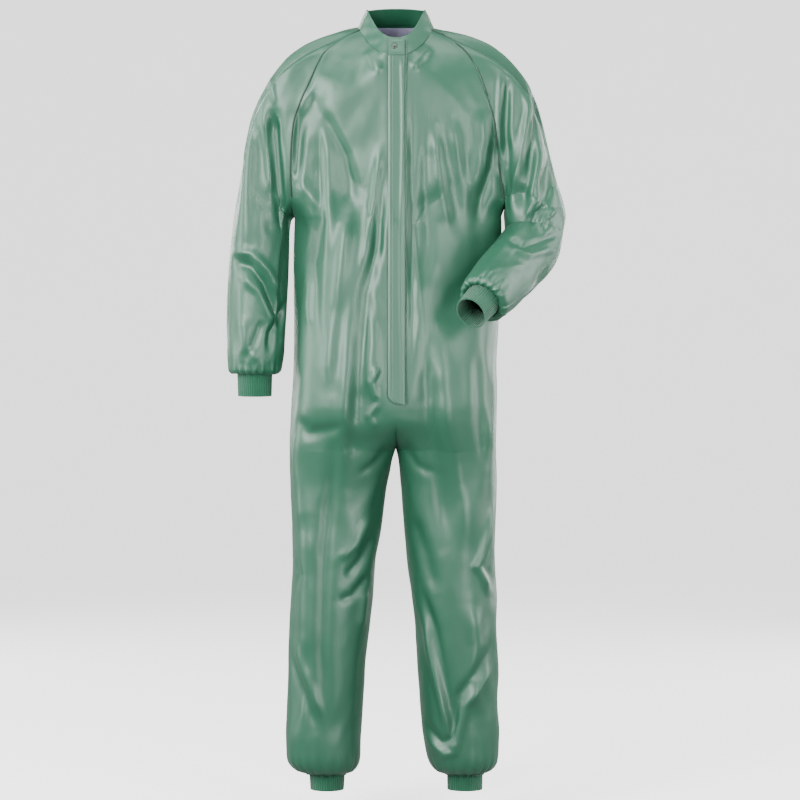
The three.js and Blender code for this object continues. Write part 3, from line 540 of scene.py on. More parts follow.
# ------------------------------------------------------------------ folds
# Each fold is (width, height, x, z, x, z, ...): the cloth is pressed along its normals by height
# times exp(-(distance from the line / width)^2), less near the line's ends.
FRONT_FOLDS = (
    (9, -4, -190, 1380, -192, 1290, -196, 1220), (10, 4, -172, 1330, -180, 1260, -186, 1180),
    (12, -8, -158, 1372, -152, 1320, -148, 1140, -166, 1060, -156, 920),
    (12, 6, -140, 1320, -134, 1200, -132, 1120, -138, 980, -140, 860),
    (14, -8, -158, 1376, -122, 1310, -102, 1270, -92, 1220, -88, 1150),
    (14, 10, -88, 1195, -102, 1100, -116, 980, -130, 860, -130, 800),
    (9, 8, -30, 1290, -42, 1190, -48, 1150, -56, 1080, -68, 1030),
    (14, -9, -24, 1200, -36, 1100, -60, 1000, -68, 900, -74, 780, -78, 700),
    (13, 6, -88, 1020, -96, 900, -104, 700, -100, 600), (7, 5, -34, 860, -48, 828, -36, 786),
    (7, 4, -30, 790, -52, 760, -40, 730), (28, 6, -196, 740, -200, 600, -190, 520),
    (12, -5, -208, 764, -172, 724, -110, 736, -84, 690), (7, 4, -172, 1040, -176, 980, -172, 930),
    (16, 8, 170, 1370, 172, 1300, 160, 1240, 150, 1190),
    (10, -7, 196, 1310, 190, 1250, 170, 1190, 160, 1130),
    (12, 9, 76, 1330, 80, 1260, 92, 1180, 106, 1120),
    (12, -5, 60, 1300, 58, 1200, 64, 1120, 60, 1000),
    (11, 6, 110, 1350, 122, 1270, 134, 1200, 140, 1140),
    (9, -4, 30, 1390, 32, 1200, 32, 1000, 30, 850),
    (24, 10, 86, 940, 100, 760, 130, 600, 146, 480), (16, -7, 60, 900, 66, 760, 84, 620, 96, 500),
    (14, -6, 160, 900, 168, 760, 176, 640), (12, 5, 190, 930, 196, 800, 190, 680),
    (9, 5, -60, 1486, -40, 1452, -26, 1430), (9, 6, 64, 1492, 46, 1462, 30, 1440),
    (8, -3, -40, 1500, -64, 1470), (9, -4, 12, 700, 40, 660, 80, 640),
    (9, -4, -10, 700, -40, 664, -76, 640), (11, -6, -122, 700, -142, 480, -148, 300, -142, 150),
    (20, 7, -170, 560, -180, 440, -176, 330, -186, 250), (10, -6, -42, 520, -70, 470, -104, 430),
    (10, 5, -50, 560, -80, 500, -116, 470), (9, -5, -52, 440, -86, 400, -116, 388),
    (9, 5, -58, 410, -62, 380, -68, 330), (9, 5, -214, 330, -176, 230, -146, 150),
    (9, -5, -216, 290, -190, 220, -160, 130), (8, -4, -205, 470, -190, 440, -206, 400),
    (8, 8, 204, 600, 170, 480, 160, 458, 184, 410, 204, 384),
    (7, -6, 206, 560, 184, 480, 180, 455, 196, 420), (8, 7, 32, 430, 58, 330, 88, 200, 108, 104),
    (11, -7, 44, 420, 76, 330, 104, 200, 116, 120),
    (9, 7, 46, 124, 96, 78, 116, 84, 138, 180, 204, 270),
    (9, -6, 36, 160, 90, 104, 112, 112, 126, 200, 198, 310),
    (15, 7, 150, 390, 160, 300, 150, 230, 164, 150), (14, -5, 28, 560, 60, 480, 80, 400),
    (9, 7, -262, 1366, -252, 1270, -244, 1190),
    (15, 6, -284, 1330, -298, 1200, -302, 1080, -286, 1030),
    (11, -10, -244, 1376, -238, 1290, -232, 1200, -220, 1110), (5, 3, -250, 1436, -238, 1370),
    (9, -10, -326, 1066, -290, 1052, -262, 1020, -240, 970, -222, 940),
    (9, 7, -328, 1086, -284, 1078, -252, 1042, -228, 990),
    (9, 5, -316, 1040, -272, 1004, -238, 930),
    (8, -8, -206, 1000, -228, 950, -248, 920, -252, 876), (8, 5, -222, 912, -216, 872),
    (11, 5, -306, 960, -296, 890, -272, 862), (10, -5, -262, 950, -282, 900, -300, 862),
    (6, 5, 208, 1440, 202, 1350, 206, 1270), (8, -9, 222, 1432, 216, 1330, 220, 1256),
    (10, 10, 250, 1438, 264, 1364, 248, 1284, 232, 1184, 228, 1140),
    (10, -8, 280, 1410, 270, 1304, 262, 1214, 246, 1150),
    (10, 7, 292, 1300, 278, 1244, 256, 1174), (10, -5, 304, 1264, 300, 1204, 284, 1160),
    (7, -6, 208, 1114, 250, 1094, 330, 1120), (7, 5, 214, 1096, 262, 1076, 320, 1090),
    (9, 3, 168, 1044, 262, 1058), (5, -5, 300, 1176, 276, 1158, 264, 1128),
    (5, 5, 318, 1170, 296, 1146, 286, 1120), (5, 4, 284, 1190, 268, 1172, 256, 1150),
)
BACK_FOLDS = (
    (16, 8, -150, 1380, -120, 1240, -104, 1040, -112, 860),
    (16, 8, 150, 1390, 126, 1230, 96, 1060, 104, 880),
    (18, -7, -60, 1420, -52, 1200, -64, 980, -50, 820),
    (18, -7, 66, 1400, 58, 1180, 40, 960, 52, 800), (12, -7, -190, 1250, -168, 1120, -172, 960),
    (12, -7, 186, 1240, 170, 1100, 160, 930), (16, 5, -10, 1300, 4, 1100, -6, 930),
    (14, 5, -180, 900, -120, 862, -50, 870), (14, 5, 176, 880, 110, 846, 40, 856),
    (12, -6, -20, 780, -70, 720, -120, 700), (12, -6, 20, 780, 76, 726, 130, 712),
    (12, 5, -30, 690, -80, 640, -150, 620), (12, 5, 26, 690, 84, 634, 150, 616),
    (16, 6, -170, 600, -160, 480, -176, 360), (16, 6, 160, 620, 170, 480, 158, 340),
    (10, -6, -190, 440, -120, 400, -60, 424), (10, -6, 190, 450, 130, 404, 50, 430),
    (9, 5, -190, 400, -124, 366, -70, 380), (9, 5, 188, 404, 120, 372, 60, 392),
    (14, -5, -90, 340, -120, 220, -110, 110), (14, -5, 84, 350, 116, 230, 104, 120),
    (10, 5, -200, 260, -170, 160, -150, 90), (10, 5, 196, 250, 160, 170, 150, 90),
    (12, 7, -210, 1400, -250, 1300, -262, 1180), (9, 6, -210, 1180, -250, 1130, -310, 1110),
    (9, -7, -212, 1120, -260, 1080, -320, 1076), (9, 6, -214, 1060, -260, 1030, -318, 1036),
    (10, -5, -230, 960, -270, 900, -280, 860), (12, 8, 210, 1400, 246, 1300, 262, 1190),
    (9, -6, 230, 1180, 290, 1170, 344, 1140), (9, 5, 250, 1130, 300, 1130, 346, 1110),
)


def stroke_distance(flat, points):
    """Nearest distance from each flat point to a broken line, and the share along it."""
    best = np.full(len(flat), 1e9)
    share = np.zeros(len(flat))
    before = lengths_along(points)
    for a, b, length, start in zip(points[:-1], points[1:], np.diff(before), before):
        d = b - a
        t = np.clip(((flat - a) @ d) / length ** 2, 0, 1)
        gap = np.linalg.norm(flat - a - t[:, None] * d, axis=1)
        closer = gap < best
        best = np.where(closer, gap, best)
        share = np.where(closer, (start + t * length) / before[-1], share)
    return best, share


def press_folds(points, normals, folds, facing, depth):
    """How far each point moves along its normal for a list of folds on the side that faces the
    given way. A fold shows only where the surface faces that way."""
    flat = points[:, (0, 2)]
    toward = ease(0.2, 0.7, normals[:, 1] * facing)
    moved = np.zeros(len(points))
    for width, height, *numbers in folds:
        line = np.array(numbers, float).reshape(-1, 2)
        low, high = line.min(0) - 3 * width, line.max(0) + 3 * width
        near = ((flat > low) & (flat < high)).all(1) & (toward > 0)
        if not near.any():
            continue
        gap, share = stroke_distance(flat[near], line)
        end = ease(0, 0.22, share) * ease(0, 0.22, 1 - share)
        fold = height * np.exp(-(gap / width) ** 2) * (0.15 + 0.85 * end)
        moved[near] += fold * toward[near]
    return moved * depth


def ripple(points, seed, count, scale, stretch):
    """Soft random undulation: a sum of seeded sine waves, longer along the height by stretch."""
    random = np.random.default_rng(seed)
    total = np.zeros(len(points))
    for _ in range(count):
        way = random.normal(size=3)
        way[2] /= stretch
        wave = unit(way) * 2 * math.pi / (scale * random.uniform(0.6, 1.7))
        wave[2] /= stretch
        total += np.sin(points @ wave + random.uniform(0, 2 * math.pi))
    return total / math.sqrt(count)


# ------------------------------------------------------------------ grids and their joins
def refined(grid, closed):
    """A grid with a point between each pair, both ways: (-1, 9, 9, -1) / 16 of its neighbours."""
    def between(rows, wrap):
        if wrap:
            before, after = np.roll(rows, 1, 0), np.roll(rows, -1, 0)
            beyond = np.roll(rows, -2, 0)
            mid = (9 * (rows + after) - before - beyond) / 16
            made = np.empty((2 * len(rows), *rows.shape[1:]))
            made[0::2], made[1::2] = rows, mid
            return made
        first, last = 2 * rows[:1] - rows[1:2], 2 * rows[-1:] - rows[-2:-1]
        wide = np.concatenate([first, rows, last])
        mid = (9 * (wide[1:-2] + wide[2:-1]) - wide[:-3] - wide[3:]) / 16
        made = np.empty((2 * len(rows) - 1, *rows.shape[1:]))
        made[0::2], made[1::2] = rows, mid
        return made
    tall = between(grid, False)
    return between(tall.swapaxes(0, 1), closed).swapaxes(0, 1)


def quads(rows, columns, closed, start=0, flip=False):
    """Corner indices of a grid's faces."""
    i = np.arange(rows - 1)[:, None]
    j = np.arange(columns if closed else columns - 1)[None, :]
    after = (j + 1) % columns
    face = np.stack([i * columns + j + 0 * after, i * columns + after,
                     (i + 1) * columns + after, (i + 1) * columns + j + 0 * after], -1)
    face = face.reshape(-1, 4) + start
    return face[:, ::-1] if flip else face


class Garment:
    """Several grids that share their seams. Points in the same place count as one."""

    def __init__(self, grids):
        self.grids = grids
        self.join()

    def join(self):
        points = np.concatenate([g["points"].reshape(-1, 3) for g in self.grids.values()])
        key = np.round(points * 20).astype(np.int64)
        _, first, back = np.unique(key, axis=0, return_index=True, return_inverse=True)
        self.index = back.reshape(-1)
        self.points = points[first]
        faces, start = [], 0
        for grid in self.grids.values():
            rows, columns = grid["points"].shape[:2]
            face = quads(rows, columns, grid["closed"], start, grid["flip"])
            faces.append(face)
            grid["span"] = (start, start + rows * columns)
            start += rows * columns
        self.faces = self.index[np.concatenate(faces)]

    def normals(self):
        """Area-weighted mean of the faces round each point."""
        p = self.points[self.faces]
        cross = np.cross(p[:, 2] - p[:, 0], p[:, 3] - p[:, 1])
        total = np.zeros_like(self.points)
        for k in range(4):
            for axis in range(3):
                total[:, axis] += np.bincount(self.faces[:, k], cross[:, axis], len(total))
        return unit(total)

    def scatter(self):
        """Puts the joined points back in each grid."""
        for grid in self.grids.values():
            a, b = grid["span"]
            grid["points"] = self.points[self.index[a:b]].reshape(grid["points"].shape)

    def of_grid(self, name, values):
        a, b = self.grids[name]["span"]
        return values[self.index[a:b]].reshape(*self.grids[name]["points"].shape[:2], -1)


def faces_in(points, outward):
    """Whether a grid's faces point away from the given outward vectors."""
    outward = np.zeros_like(points) + outward
    across = np.gradient(points, axis=1)
    up = np.gradient(points, axis=0)
    normal = np.cross(across, up)
    inner = normal[2:-2, 2:-2]
    return float((inner * outward[2:-2, 2:-2]).sum()) < 0


def garment():
    """All the cloth of the body, legs and sleeves, as joined grids."""
    grids = {}
    for word, side in SIDES:
        for name, face in (("front", FRONT), ("back", BACK)):
            points = panel(face, side)
            grids[f"{name}_{word}"] = {"points": points, "closed": False,
                                       "flip": faces_in(points, (0, face["sign"], 0.0))}
        sleeve = straight_sleeve() if side < 0 else bent_sleeve()
        for name, points in (("lower_leg", lower_leg(side)), ("sleeve", sleeve)):
            outward = points - points.mean(1, keepdims=True)
            grids[f"{name}_{word}"] = {"points": points, "closed": True,
                                       "flip": faces_in(points, outward)}
    return Garment(grids)


def keep_front(points):
    """How freely the cloth may move: not within 14 mm of the front edge, fully from 34 mm."""
    x, y, z = points.T
    near = 1 - ease(14, 34, np.abs(x))
    front = (y < 0) & (z > ZIP_BOTTOM - 30)
    return 1 - near * front


def neck_hold(points):
    """How freely the cloth may move near the neck seam: not within a few millimetres."""
    x, y, z = points.T
    seam = np.where(y < 0, NECK_FRONT + (NECK_SIDE - NECK_FRONT)
                    * np.clip(np.abs(x) / NECK_WIDTH, 0, 1) ** 2.5, NECK_BACK - 4)
    return ease(2, 26, seam - z + np.maximum(np.abs(x) - NECK_WIDTH, 0) * 0.9)


def pressed(cloth, depth):
    """Moves the joined cloth along its normals by the folds and soft undulations."""
    points, normals = cloth.points, cloth.normals()
    free = keep_front(points) * neck_hold(points)
    moved = press_folds(points, normals, FRONT_FOLDS, -1, depth)
    moved += press_folds(points, normals, BACK_FOLDS, 1, depth)
    moved += 0.8 * ripple(points, 3, 9, 110, 2.4) * depth
    moved += 0.15 * ripple(points, 8, 12, 26, 1.8) * depth
    hems = ease(LEG_HEM - 2, 130, points[:, 2])
    cloth.points = points + normals * (moved * free * (0.25 + 0.75 * hems))[:, None]
    cloth.scatter()


def held(points):
    """Where the cloth is held while it hangs: the neck, the zip, the cuffs and the hems."""
    x, y, z = points.T
    grip = 1 - np.minimum(ease(0.05, 0.5, keep_front(points)), ease(0.02, 0.3, neck_hold(points)))
    grip = np.maximum(grip, 1 - ease(90, 130, z))
    sleeve_end = STRAIGHT_TOP[2] - STRAIGHT_DROP
    grip = np.maximum(grip, (x < -215) * (1 - ease(sleeve_end + 30, sleeve_end + 60, z)))
    _, lower, _ = bent_axes()
    along = (points - BENT_PIVOT) @ lower
    forearm = np.linalg.norm(points - BENT_PIVOT - along[:, None] * lower, axis=1) < 80
    end = BENT_REACH + BENT_FOREARM
    grip = np.maximum(grip, forearm * ease(end - 60, end - 30, along))
    bend = np.linalg.norm(points - BENT_PIVOT, axis=1)
    return np.maximum(grip, 0.9 * (1 - ease(70, 120, bend)))


def softened(faces, moved, rounds):
    """A movement of joined points, each round replaced by the mean of its own and the mean of its
    neighbours', which leaves the broad folds and takes out the crinkles."""
    count = len(moved)
    start = faces.ravel()
    near = np.roll(faces, -1, 1).ravel()
    both = np.concatenate([start, near])
    other = np.concatenate([near, start])
    total = np.bincount(both, minlength=count)[:, None]
    for _ in range(rounds):
        mean = np.stack([np.bincount(both, moved[other, k], count) for k in range(3)], -1) / total
        moved = 0.5 * moved + 0.5 * mean
    return moved


def drape(cloth, frames):
    """Hangs the joined cloth, cut a little generously, over a form inside it for some frames."""
    normals = cloth.normals()
    free = (keep_front(cloth.points) * neck_hold(cloth.points))[:, None]
    points = cloth.points + normals * free * ripple(cloth.points, 3, 9, 120, 2.6)[:, None]
    chest = ease(1150, 1350, points[:, 2])
    inset = FORM_INSET - (FORM_INSET - FORM_INSET_CHEST) * chest
    form = new_mesh("form", points - normals * inset[:, None], cloth.faces)
    form.modifiers.new("Collision", "COLLISION")
    form.collision.thickness_outer = CLOTH_GAP
    sheet = new_mesh("hanging", points, cloth.faces)
    group = sheet.vertex_groups.new(name="held")
    grip = held(points)
    for level in np.unique(np.round(grip, 1)):
        members = np.flatnonzero(np.round(grip, 1) == level)
        group.add(members.tolist(), float(level), "REPLACE")
    hang = sheet.modifiers.new("Cloth", "CLOTH")
    for key, value in CLOTH_SETTINGS.items():
        setattr(hang.settings, key, value)
    hang.settings.effector_weights.gravity = CLOTH_GRAVITY
    hang.collision_settings.collision_quality = 2
    hang.collision_settings.distance_min = CLOTH_GAP
    hang.point_cache.frame_start = 1
    hang.point_cache.frame_end = frames
    scene = bpy.context.scene
    for frame_number in range(1, frames + 1):
        scene.frame_set(frame_number)
    found = sheet.evaluated_get(bpy.context.evaluated_depsgraph_get()).to_mesh()
    moved = np.zeros(len(points) * 3)
    found.vertices.foreach_get("co", moved)
    moved = moved.reshape(-1, 3) * 1000 + (0, 0, NECK_SIDE) - cloth.points
    cloth.points = cloth.points + softened(cloth.faces, moved, SOFTENING_ROUNDS)
    scene.frame_set(1)
    bpy.data.objects.remove(sheet)
    bpy.data.objects.remove(form)
    cloth.scatter()


def gather(cloth):
    """Small pleats where each sleeve and leg is drawn in to its cuff."""
    for word, side in SIDES:
        for name, rows, waves, height in ((f"sleeve_{word}", 34, 17, 2.4),
                                          (f"lower_leg_{word}", 38, 19, 3.0)):
            grid = cloth.grids[name]["points"]
            count = grid.shape[1]
            middle = grid[-rows:].mean(1, keepdims=True)
            turn = np.linspace(0, 2 * math.pi, count, endpoint=False)[None, :]
            down = np.linspace(0, 1, rows)[:, None]
            wave = (np.sin(waves * turn + 1.3 * np.sin(3 * turn))
                    + 0.6 * np.sin((waves + 6) * turn + 2.1 * np.sin(2 * turn) + 3 * down))
            size = height * down ** 2.2 * (1 - ease(0.88, 1.0, down) * 0.8)
            grid[-rows:] += unit(grid[-rows:] - middle) * (wave * size)[..., None]


def cut_coordinates(grid):
    """UV in metres: across, the length along each row from its start; up, the mean length along
    the columns."""
    points = grid["points"]
    across = np.linalg.norm(np.diff(points, axis=1), axis=2)
    if grid["closed"]:
        across = np.repeat(across.mean(0, keepdims=True), len(points), 0)
    u = np.concatenate([np.zeros((len(points), 1)), np.cumsum(across, 1)], 1)
    up = np.linalg.norm(np.diff(points, axis=0), axis=2).mean(1)
    v = np.concatenate([[0], np.cumsum(up)])[:, None] + 0 * u
    return np.stack([u, v], -1) / 1000


# ------------------------------------------------------------------ meshes
def placed(points):
    """Suit millimetres to frame metres."""
    points = np.asarray(points, float).reshape(-1, 3)
    return (points - (0, 0, NECK_SIDE)) / 1000


def new_mesh(name, points, faces, uv=None, smooth_faces=True, normals=None):
    """An object at the origin with its place in its mesh; uv and normals are for each corner."""
    mesh = bpy.data.meshes.new(name)
    mesh.from_pydata(placed(points).tolist(), [], [list(map(int, f)) for f in faces])
    flags = np.broadcast_to(smooth_faces, len(mesh.polygons))
    mesh.polygons.foreach_set("use_smooth", flags.copy())
    if uv is not None:
        layer = mesh.uv_layers.new(name="cloth")
        layer.data.foreach_set("uv", np.asarray(uv, np.float32).ravel())
    mesh.update()
    if normals is not None:
        mesh.normals_split_custom_set(np.asarray(normals, float).tolist())
    made = bpy.data.objects.new(name, mesh)
    bpy.context.scene.collection.objects.link(made)
    return made


def shell(name, grid, normals, closed, flip, thickness, uv=None):
    """A sheet of cloth: the outer grid, the same moved in along the normals by the thickness, and
    a strip along each free edge. Corner normals are the joined cloth's, so seams stay smooth."""
    rows, columns = grid.shape[:2]
    outer = grid.reshape(-1, 3)
    n = normals.reshape(-1, 3)
    inner = outer - n * thickness
    count = len(outer)
    top = quads(rows, columns, closed, 0, flip)
    under = quads(rows, columns, closed, count, not flip)
    index = np.arange(count).reshape(rows, columns)
    edges = [(index[0], True), (index[-1], False)]
    if not closed:
        edges += [(index[:, 0], False), (index[:, -1], True)]
    strips = []
    for line, turned in edges:
        if closed:
            line = np.append(line, line[0])
        a, b = line[:-1], line[1:]
        strip = np.stack([a, a + count, b + count, b], -1)
        strips.append(strip[:, ::-1] if turned != flip else strip)
    rim = np.concatenate(strips)
    points = np.concatenate([outer, inner])
    p = points[rim]
    face_normal = unit(np.cross(p[:, 2] - p[:, 0], p[:, 3] - p[:, 1]))
    strip_normals = np.repeat(face_normal, 4, 0)
    faces = np.concatenate([top, under, rim])
    both = np.concatenate([n, -n])
    corner = np.concatenate([both[top].reshape(-1, 3), both[under].reshape(-1, 3), strip_normals])
    layer = None
    if uv is not None:
        flat = np.concatenate([uv.reshape(-1, 2)] * 2)
        layer = flat[faces].reshape(-1, 2)
        if closed:
            layer = seam_uv(layer, uv)
    soft = np.arange(len(faces)) < len(top) + len(under)
    return new_mesh(name, points, faces, layer, soft, corner)


def seam_uv(layer, uv):
    """On a closed grid the last column of faces runs on past the end instead of back to zero."""
    corners = layer.reshape(-1, 4, 2)
    total = float(uv[0, -1, 0] + (uv[0, -1, 0] - uv[0, -2, 0]))
    span = corners[:, :, 0].max(1) - corners[:, :, 0].min(1)
    wraps = span > total / 2
    low = corners[:, :, 0] < total / 2
    corners[:, :, 0] = np.where(wraps[:, None] & low, corners[:, :, 0] + total, corners[:, :, 0])
    return corners.reshape(-1, 2)


def grid_normals(grid, closed, flip):
    """Normals of one grid on its own."""
    if closed:
        across = np.roll(grid, -1, 1) - np.roll(grid, 1, 1)
    else:
        across = np.gradient(grid, axis=1)
    normal = unit(np.cross(across, np.gradient(grid, axis=0)))
    return -normal if flip else normal


def sheet_of(name, grid, thickness, material, outward=(0, -1.0, 0), closed=False):
    """A thin piece from one grid, its own normals used and turned the outward way."""
    flip = faces_in(grid, outward)
    uv = cut_coordinates({"points": grid, "closed": closed})
    made = shell(name, grid, grid_normals(grid, closed, flip), closed, flip, thickness, uv)
    made.data.materials.append(material)
    return made


def closed_by_points(rows, sides):
    """Faces of rings whose ends are each closed by a point, the two points last."""
    around = np.arange(sides)
    after, last = np.roll(around, -1), (rows - 1) * sides
    start = np.stack([after, around, np.full(sides, rows * sides)], -1)
    finish = np.stack([last + around, last + after, np.full(sides, rows * sides + 1)], -1)
    return [*quads(rows, sides, True), *start, *finish]


def tube(name, line, radius, sides, material):
    """A round profile carried along a line, its ends closed by a point each."""
    ahead = unit(np.gradient(line, axis=0))
    first = unit(np.cross(ahead, (0.31, 0.17, 0.93)))
    second = np.cross(ahead, first)
    turn = np.linspace(0, 2 * math.pi, sides, endpoint=False)
    ring = line[:, None] + radius * (np.cos(turn)[None, :, None] * first[:, None]
                                     + np.sin(turn)[None, :, None] * second[:, None])
    points = np.concatenate([ring.reshape(-1, 3), line[:1], line[-1:]])
    made = new_mesh(name, points, closed_by_points(len(line), sides))
    made.data.materials.append(material)
    return made


# ------------------------------------------------------------------ materials
def node(tree, kind, settings=None, links=()):
    """Adds a node, sets its attributes and inputs, and links (input, other node, output)."""
    made = tree.nodes.new(kind)
    for key, value in (settings or {}).items():
        if key in made.inputs.keys() or isinstance(key, int):
            made.inputs[key].default_value = value
        else:
            setattr(made, key, value)
    for name, other, output in links:
        tree.links.new(other.outputs[output], made.inputs[name])
    return made


def shader(name, settings):
    """A material with a Principled shader whose constant values are set on its own sockets."""
    material = bpy.data.materials.new(name)
    material.use_nodes = True
    tree = material.node_tree
    principled = tree.nodes["Principled BSDF"]
    for key, value in settings.items():
        principled.inputs[key].default_value = value
    return material, tree, principled


def place_noise(tree, scale, detail, roughness=0.5):
    """Noise fixed to the object."""
    place = node(tree, "ShaderNodeTexCoord")
    return node(tree, "ShaderNodeTexNoise",
                {"Scale": scale, "Detail": detail, "Roughness": roughness},
                [("Vector", place, "Object")])


def two_tones(tree, base, low, high, by):
    """The colour between two shares of itself, by a noise."""
    return node(tree, "ShaderNodeMix", {"data_type": "RGBA", 6: darker(base, low),
                                        7: darker(base, high)}, [(0, by, 0)])


def rough_between(tree, out, low, high, by):
    """Drives the shader's roughness between two values by a noise."""
    rough = node(tree, "ShaderNodeMapRange", {"To Min": low, "To Max": high}, [("Value", by, 0)])
    tree.links.new(rough.outputs[0], out.inputs["Roughness"])


def bumps(tree, out, *layers):
    """Bumps one over another: each is (height node, its output, strength, distance)."""
    below = ()
    for height, output, strength, distance in layers:
        made = node(tree, "ShaderNodeBump", {"Strength": abs(strength), "Distance": distance,
                                             "invert": strength < 0},
                    [("Height", height, output), *below])
        below = [("Normal", made, 0)]
    tree.links.new(made.outputs[0], out.inputs["Normal"])


def colours():
    return bpy.context.scene.coverall_colours


def darker(colour, factor):
    return (*(c * factor for c in colour[:3]), 1.0)


def stripes(tree, source, axis, pitch, width):
    """1 on lines a pitch apart along one UV direction, softened over their width."""
    split = node(tree, "ShaderNodeSeparateXYZ", links=[("Vector", source, "UV")])
    scaled = node(tree, "ShaderNodeMath", {"operation": "DIVIDE", 1: pitch},
                  [(0, split, axis)])
    part = node(tree, "ShaderNodeMath", {"operation": "PINGPONG", 1: 0.5}, [(0, scaled, 0)])
    return node(tree, "ShaderNodeMapRange",
                {"interpolation_type": "SMOOTHSTEP", "From Min": 0.0, "From Max": width,
                 "To Min": 1.0, "To Max": 0.0}, [("Value", part, 0)])


def woven_satin():
    """Woven polyester satin with conductive carbon threads: a smooth filament face that gives
    broad soft highlights, and a fine dark grid. The grid is 5 to 6 mm apart; its threads are
    drawn 0.7 mm wide so that they show, and the weave is drawn at 1.3 mm, coarser than real."""
    key = "Woven satin polyester"
    if key in bpy.data.materials:
        return bpy.data.materials[key]
    sizes = bpy.context.scene.coverall_sizes
    material, tree, out = shader(key, {
        "Roughness": 0.42, "Specular IOR Level": 1.0, "Sheen Weight": 0.04,
        "Specular Tint": (0.88, 1.0, 0.94, 1.0),
        "Sheen Roughness": 0.4, "Anisotropic": 0.35})
    cloth = node(tree, "ShaderNodeUVMap", {"uv_map": "cloth"})
    warp = stripes(tree, cloth, "X", sizes.thread_pitch, 0.13)
    weft = stripes(tree, cloth, "Y", sizes.thread_pitch, 0.10)
    weft_part = node(tree, "ShaderNodeMath", {"operation": "MULTIPLY", 1: 0.35}, [(0, weft, 0)])
    both = node(tree, "ShaderNodeMath", {"operation": "MAXIMUM"}, [(0, warp, 0), (1, weft_part, 0)])
    cloud = place_noise(tree, 6.0, 3.0)
    shade = two_tones(tree, colours().satin, 0.93, 1.06, cloud)
    strength = node(tree, "ShaderNodeMath", {"operation": "MULTIPLY", 1: 0.42}, [(0, both, 0)])
    mixed = node(tree, "ShaderNodeMix", {"data_type": "RGBA", 7: tuple(colours().thread)},
                 [(0, strength, 0), (6, shade, 2)])
    tree.links.new(mixed.outputs[2], out.inputs["Base Color"])
    rough_between(tree, out, 0.38, 0.46, cloud)
    weave = node(tree, "ShaderNodeTexWave",
                 {"wave_type": "BANDS", "bands_direction": "DIAGONAL", "Scale": 120.0,
                  "Distortion": 0.6, "Detail": 1.0}, [("Vector", cloth, "UV")])
    crinkle = place_noise(tree, 38.0, 4.0, 0.55)
    bumps(tree, out, (weave, 1, 0.06, 0.0002), (both, 0, 0.10, 0.0003),
          (crinkle, 0, 0.22, 0.0016))
    return material


def ribbed_knit():
    """Rib-knitted polyester and elastane: matt, deep green, its wales 2.4 mm apart with small
    loops;
    the loops are drawn 1.6 mm high so that they show, and the grooves between the wales are
    painted darker as shade."""
    key = "Ribbed knit"
    if key in bpy.data.materials:
        return bpy.data.materials[key]
    material, tree, out = shader(key, {
        "Roughness": 0.78, "Sheen Weight": 0.35, "Sheen Roughness": 0.5,
        "Specular IOR Level": 0.35})
    cloth = node(tree, "ShaderNodeUVMap", {"uv_map": "cloth"})
    rib_groove_and_shade = stripes(tree, cloth, "X", 0.0024, 0.42)
    loop = stripes(tree, cloth, "Y", 0.0016, 0.45)
    shade = two_tones(tree, colours().knit, 0.8, 1.15, place_noise(tree, 40.0, 3.0))
    # The colour is multiplied down to 0.62 along the rib grooves: painted shade in the grooves.
    mixed = node(tree, "ShaderNodeMix", {"data_type": "RGBA", "blend_type": "MULTIPLY",
                                         7: (0.62, 0.62, 0.62, 1)}, [(0, rib_groove_and_shade, 0), (6, shade, 2)])
    tree.links.new(mixed.outputs[2], out.inputs["Base Color"])
    bumps(tree, out, (rib_groove_and_shade, 0, -0.5, 0.0008), (loop, 0, 0.3, 0.0004))
    return material


def plain_weave(key, base, roughness, weave_size, sheen):
    """Plain woven polyester: matt, with a fine over and under weave drawn coarse enough to show,
    and a little uneven dyeing."""
    if key in bpy.data.materials:
        return bpy.data.materials[key]
    material, tree, out = shader(key, {"Roughness": roughness, "Sheen Weight": sheen,
                                       "Specular IOR Level": 0.4})
    place = node(tree, "ShaderNodeTexCoord")
    size = node(tree, "ShaderNodeMapping", {"Scale": (1 / weave_size,) * 3},
                [("Vector", place, "Object")])
    check = node(tree, "ShaderNodeTexChecker", {"Scale": 1.0, 1: (1, 1, 1, 1), 2: (0, 0, 0, 1)},
                 [("Vector", size, 0)])
    cloud = place_noise(tree, 24.0, 4.0)
    shade = two_tones(tree, base, 0.86, 1.1, cloud)
    tree.links.new(shade.outputs[2], out.inputs["Base Color"])
    bumps(tree, out, (check, 1, 0.25, 0.0003), (cloud, 0, 0.3, 0.001))
    return material


def moulded_plastic():
    """Injection-moulded acetal zip teeth: smooth, lightly glossy, a little scuffed."""
    key = "Moulded acetal"
    if key in bpy.data.materials:
        return bpy.data.materials[key]
    material, tree, out = shader(key, {"IOR": 1.48})
    scuff = place_noise(tree, 180.0, 3.0)
    rough_between(tree, out, 0.28, 0.5, scuff)
    shade = two_tones(tree, colours().teeth, 0.9, 1.08, scuff)
    tree.links.new(shade.outputs[2], out.inputs["Base Color"])
    return material


def dull_nickel():
    """Barrel-plated nickel on die-cast zinc: grey metal with a soft tumbled grain and tiny
    scratches, its tone brighter in some places and darker in others, at random."""
    key = "Dull nickel plate"
    if key in bpy.data.materials:
        return bpy.data.materials[key]
    material, tree, out = shader(key, {"Metallic": 1.0})
    grain = place_noise(tree, 320.0, 5.0, 0.6)
    rough_between(tree, out, 0.26, 0.46, grain)
    shade = two_tones(tree, colours().metal, 0.82, 1.15, grain)
    tree.links.new(shade.outputs[2], out.inputs["Base Color"])
    bumps(tree, out, (grain, 0, 0.12, 0.0001))
    return material


def piping_cloth():
    return plain_weave("Piping cloth", colours().piping, 0.6, 0.0011, 0.25)


def facing_cloth():
    return plain_weave("Facing cloth", colours().facing, 0.7, 0.0014, 0.2)


def tape_cloth():
    return plain_weave("Zip tape weave", colours().tape, 0.75, 0.0009, 0.2)


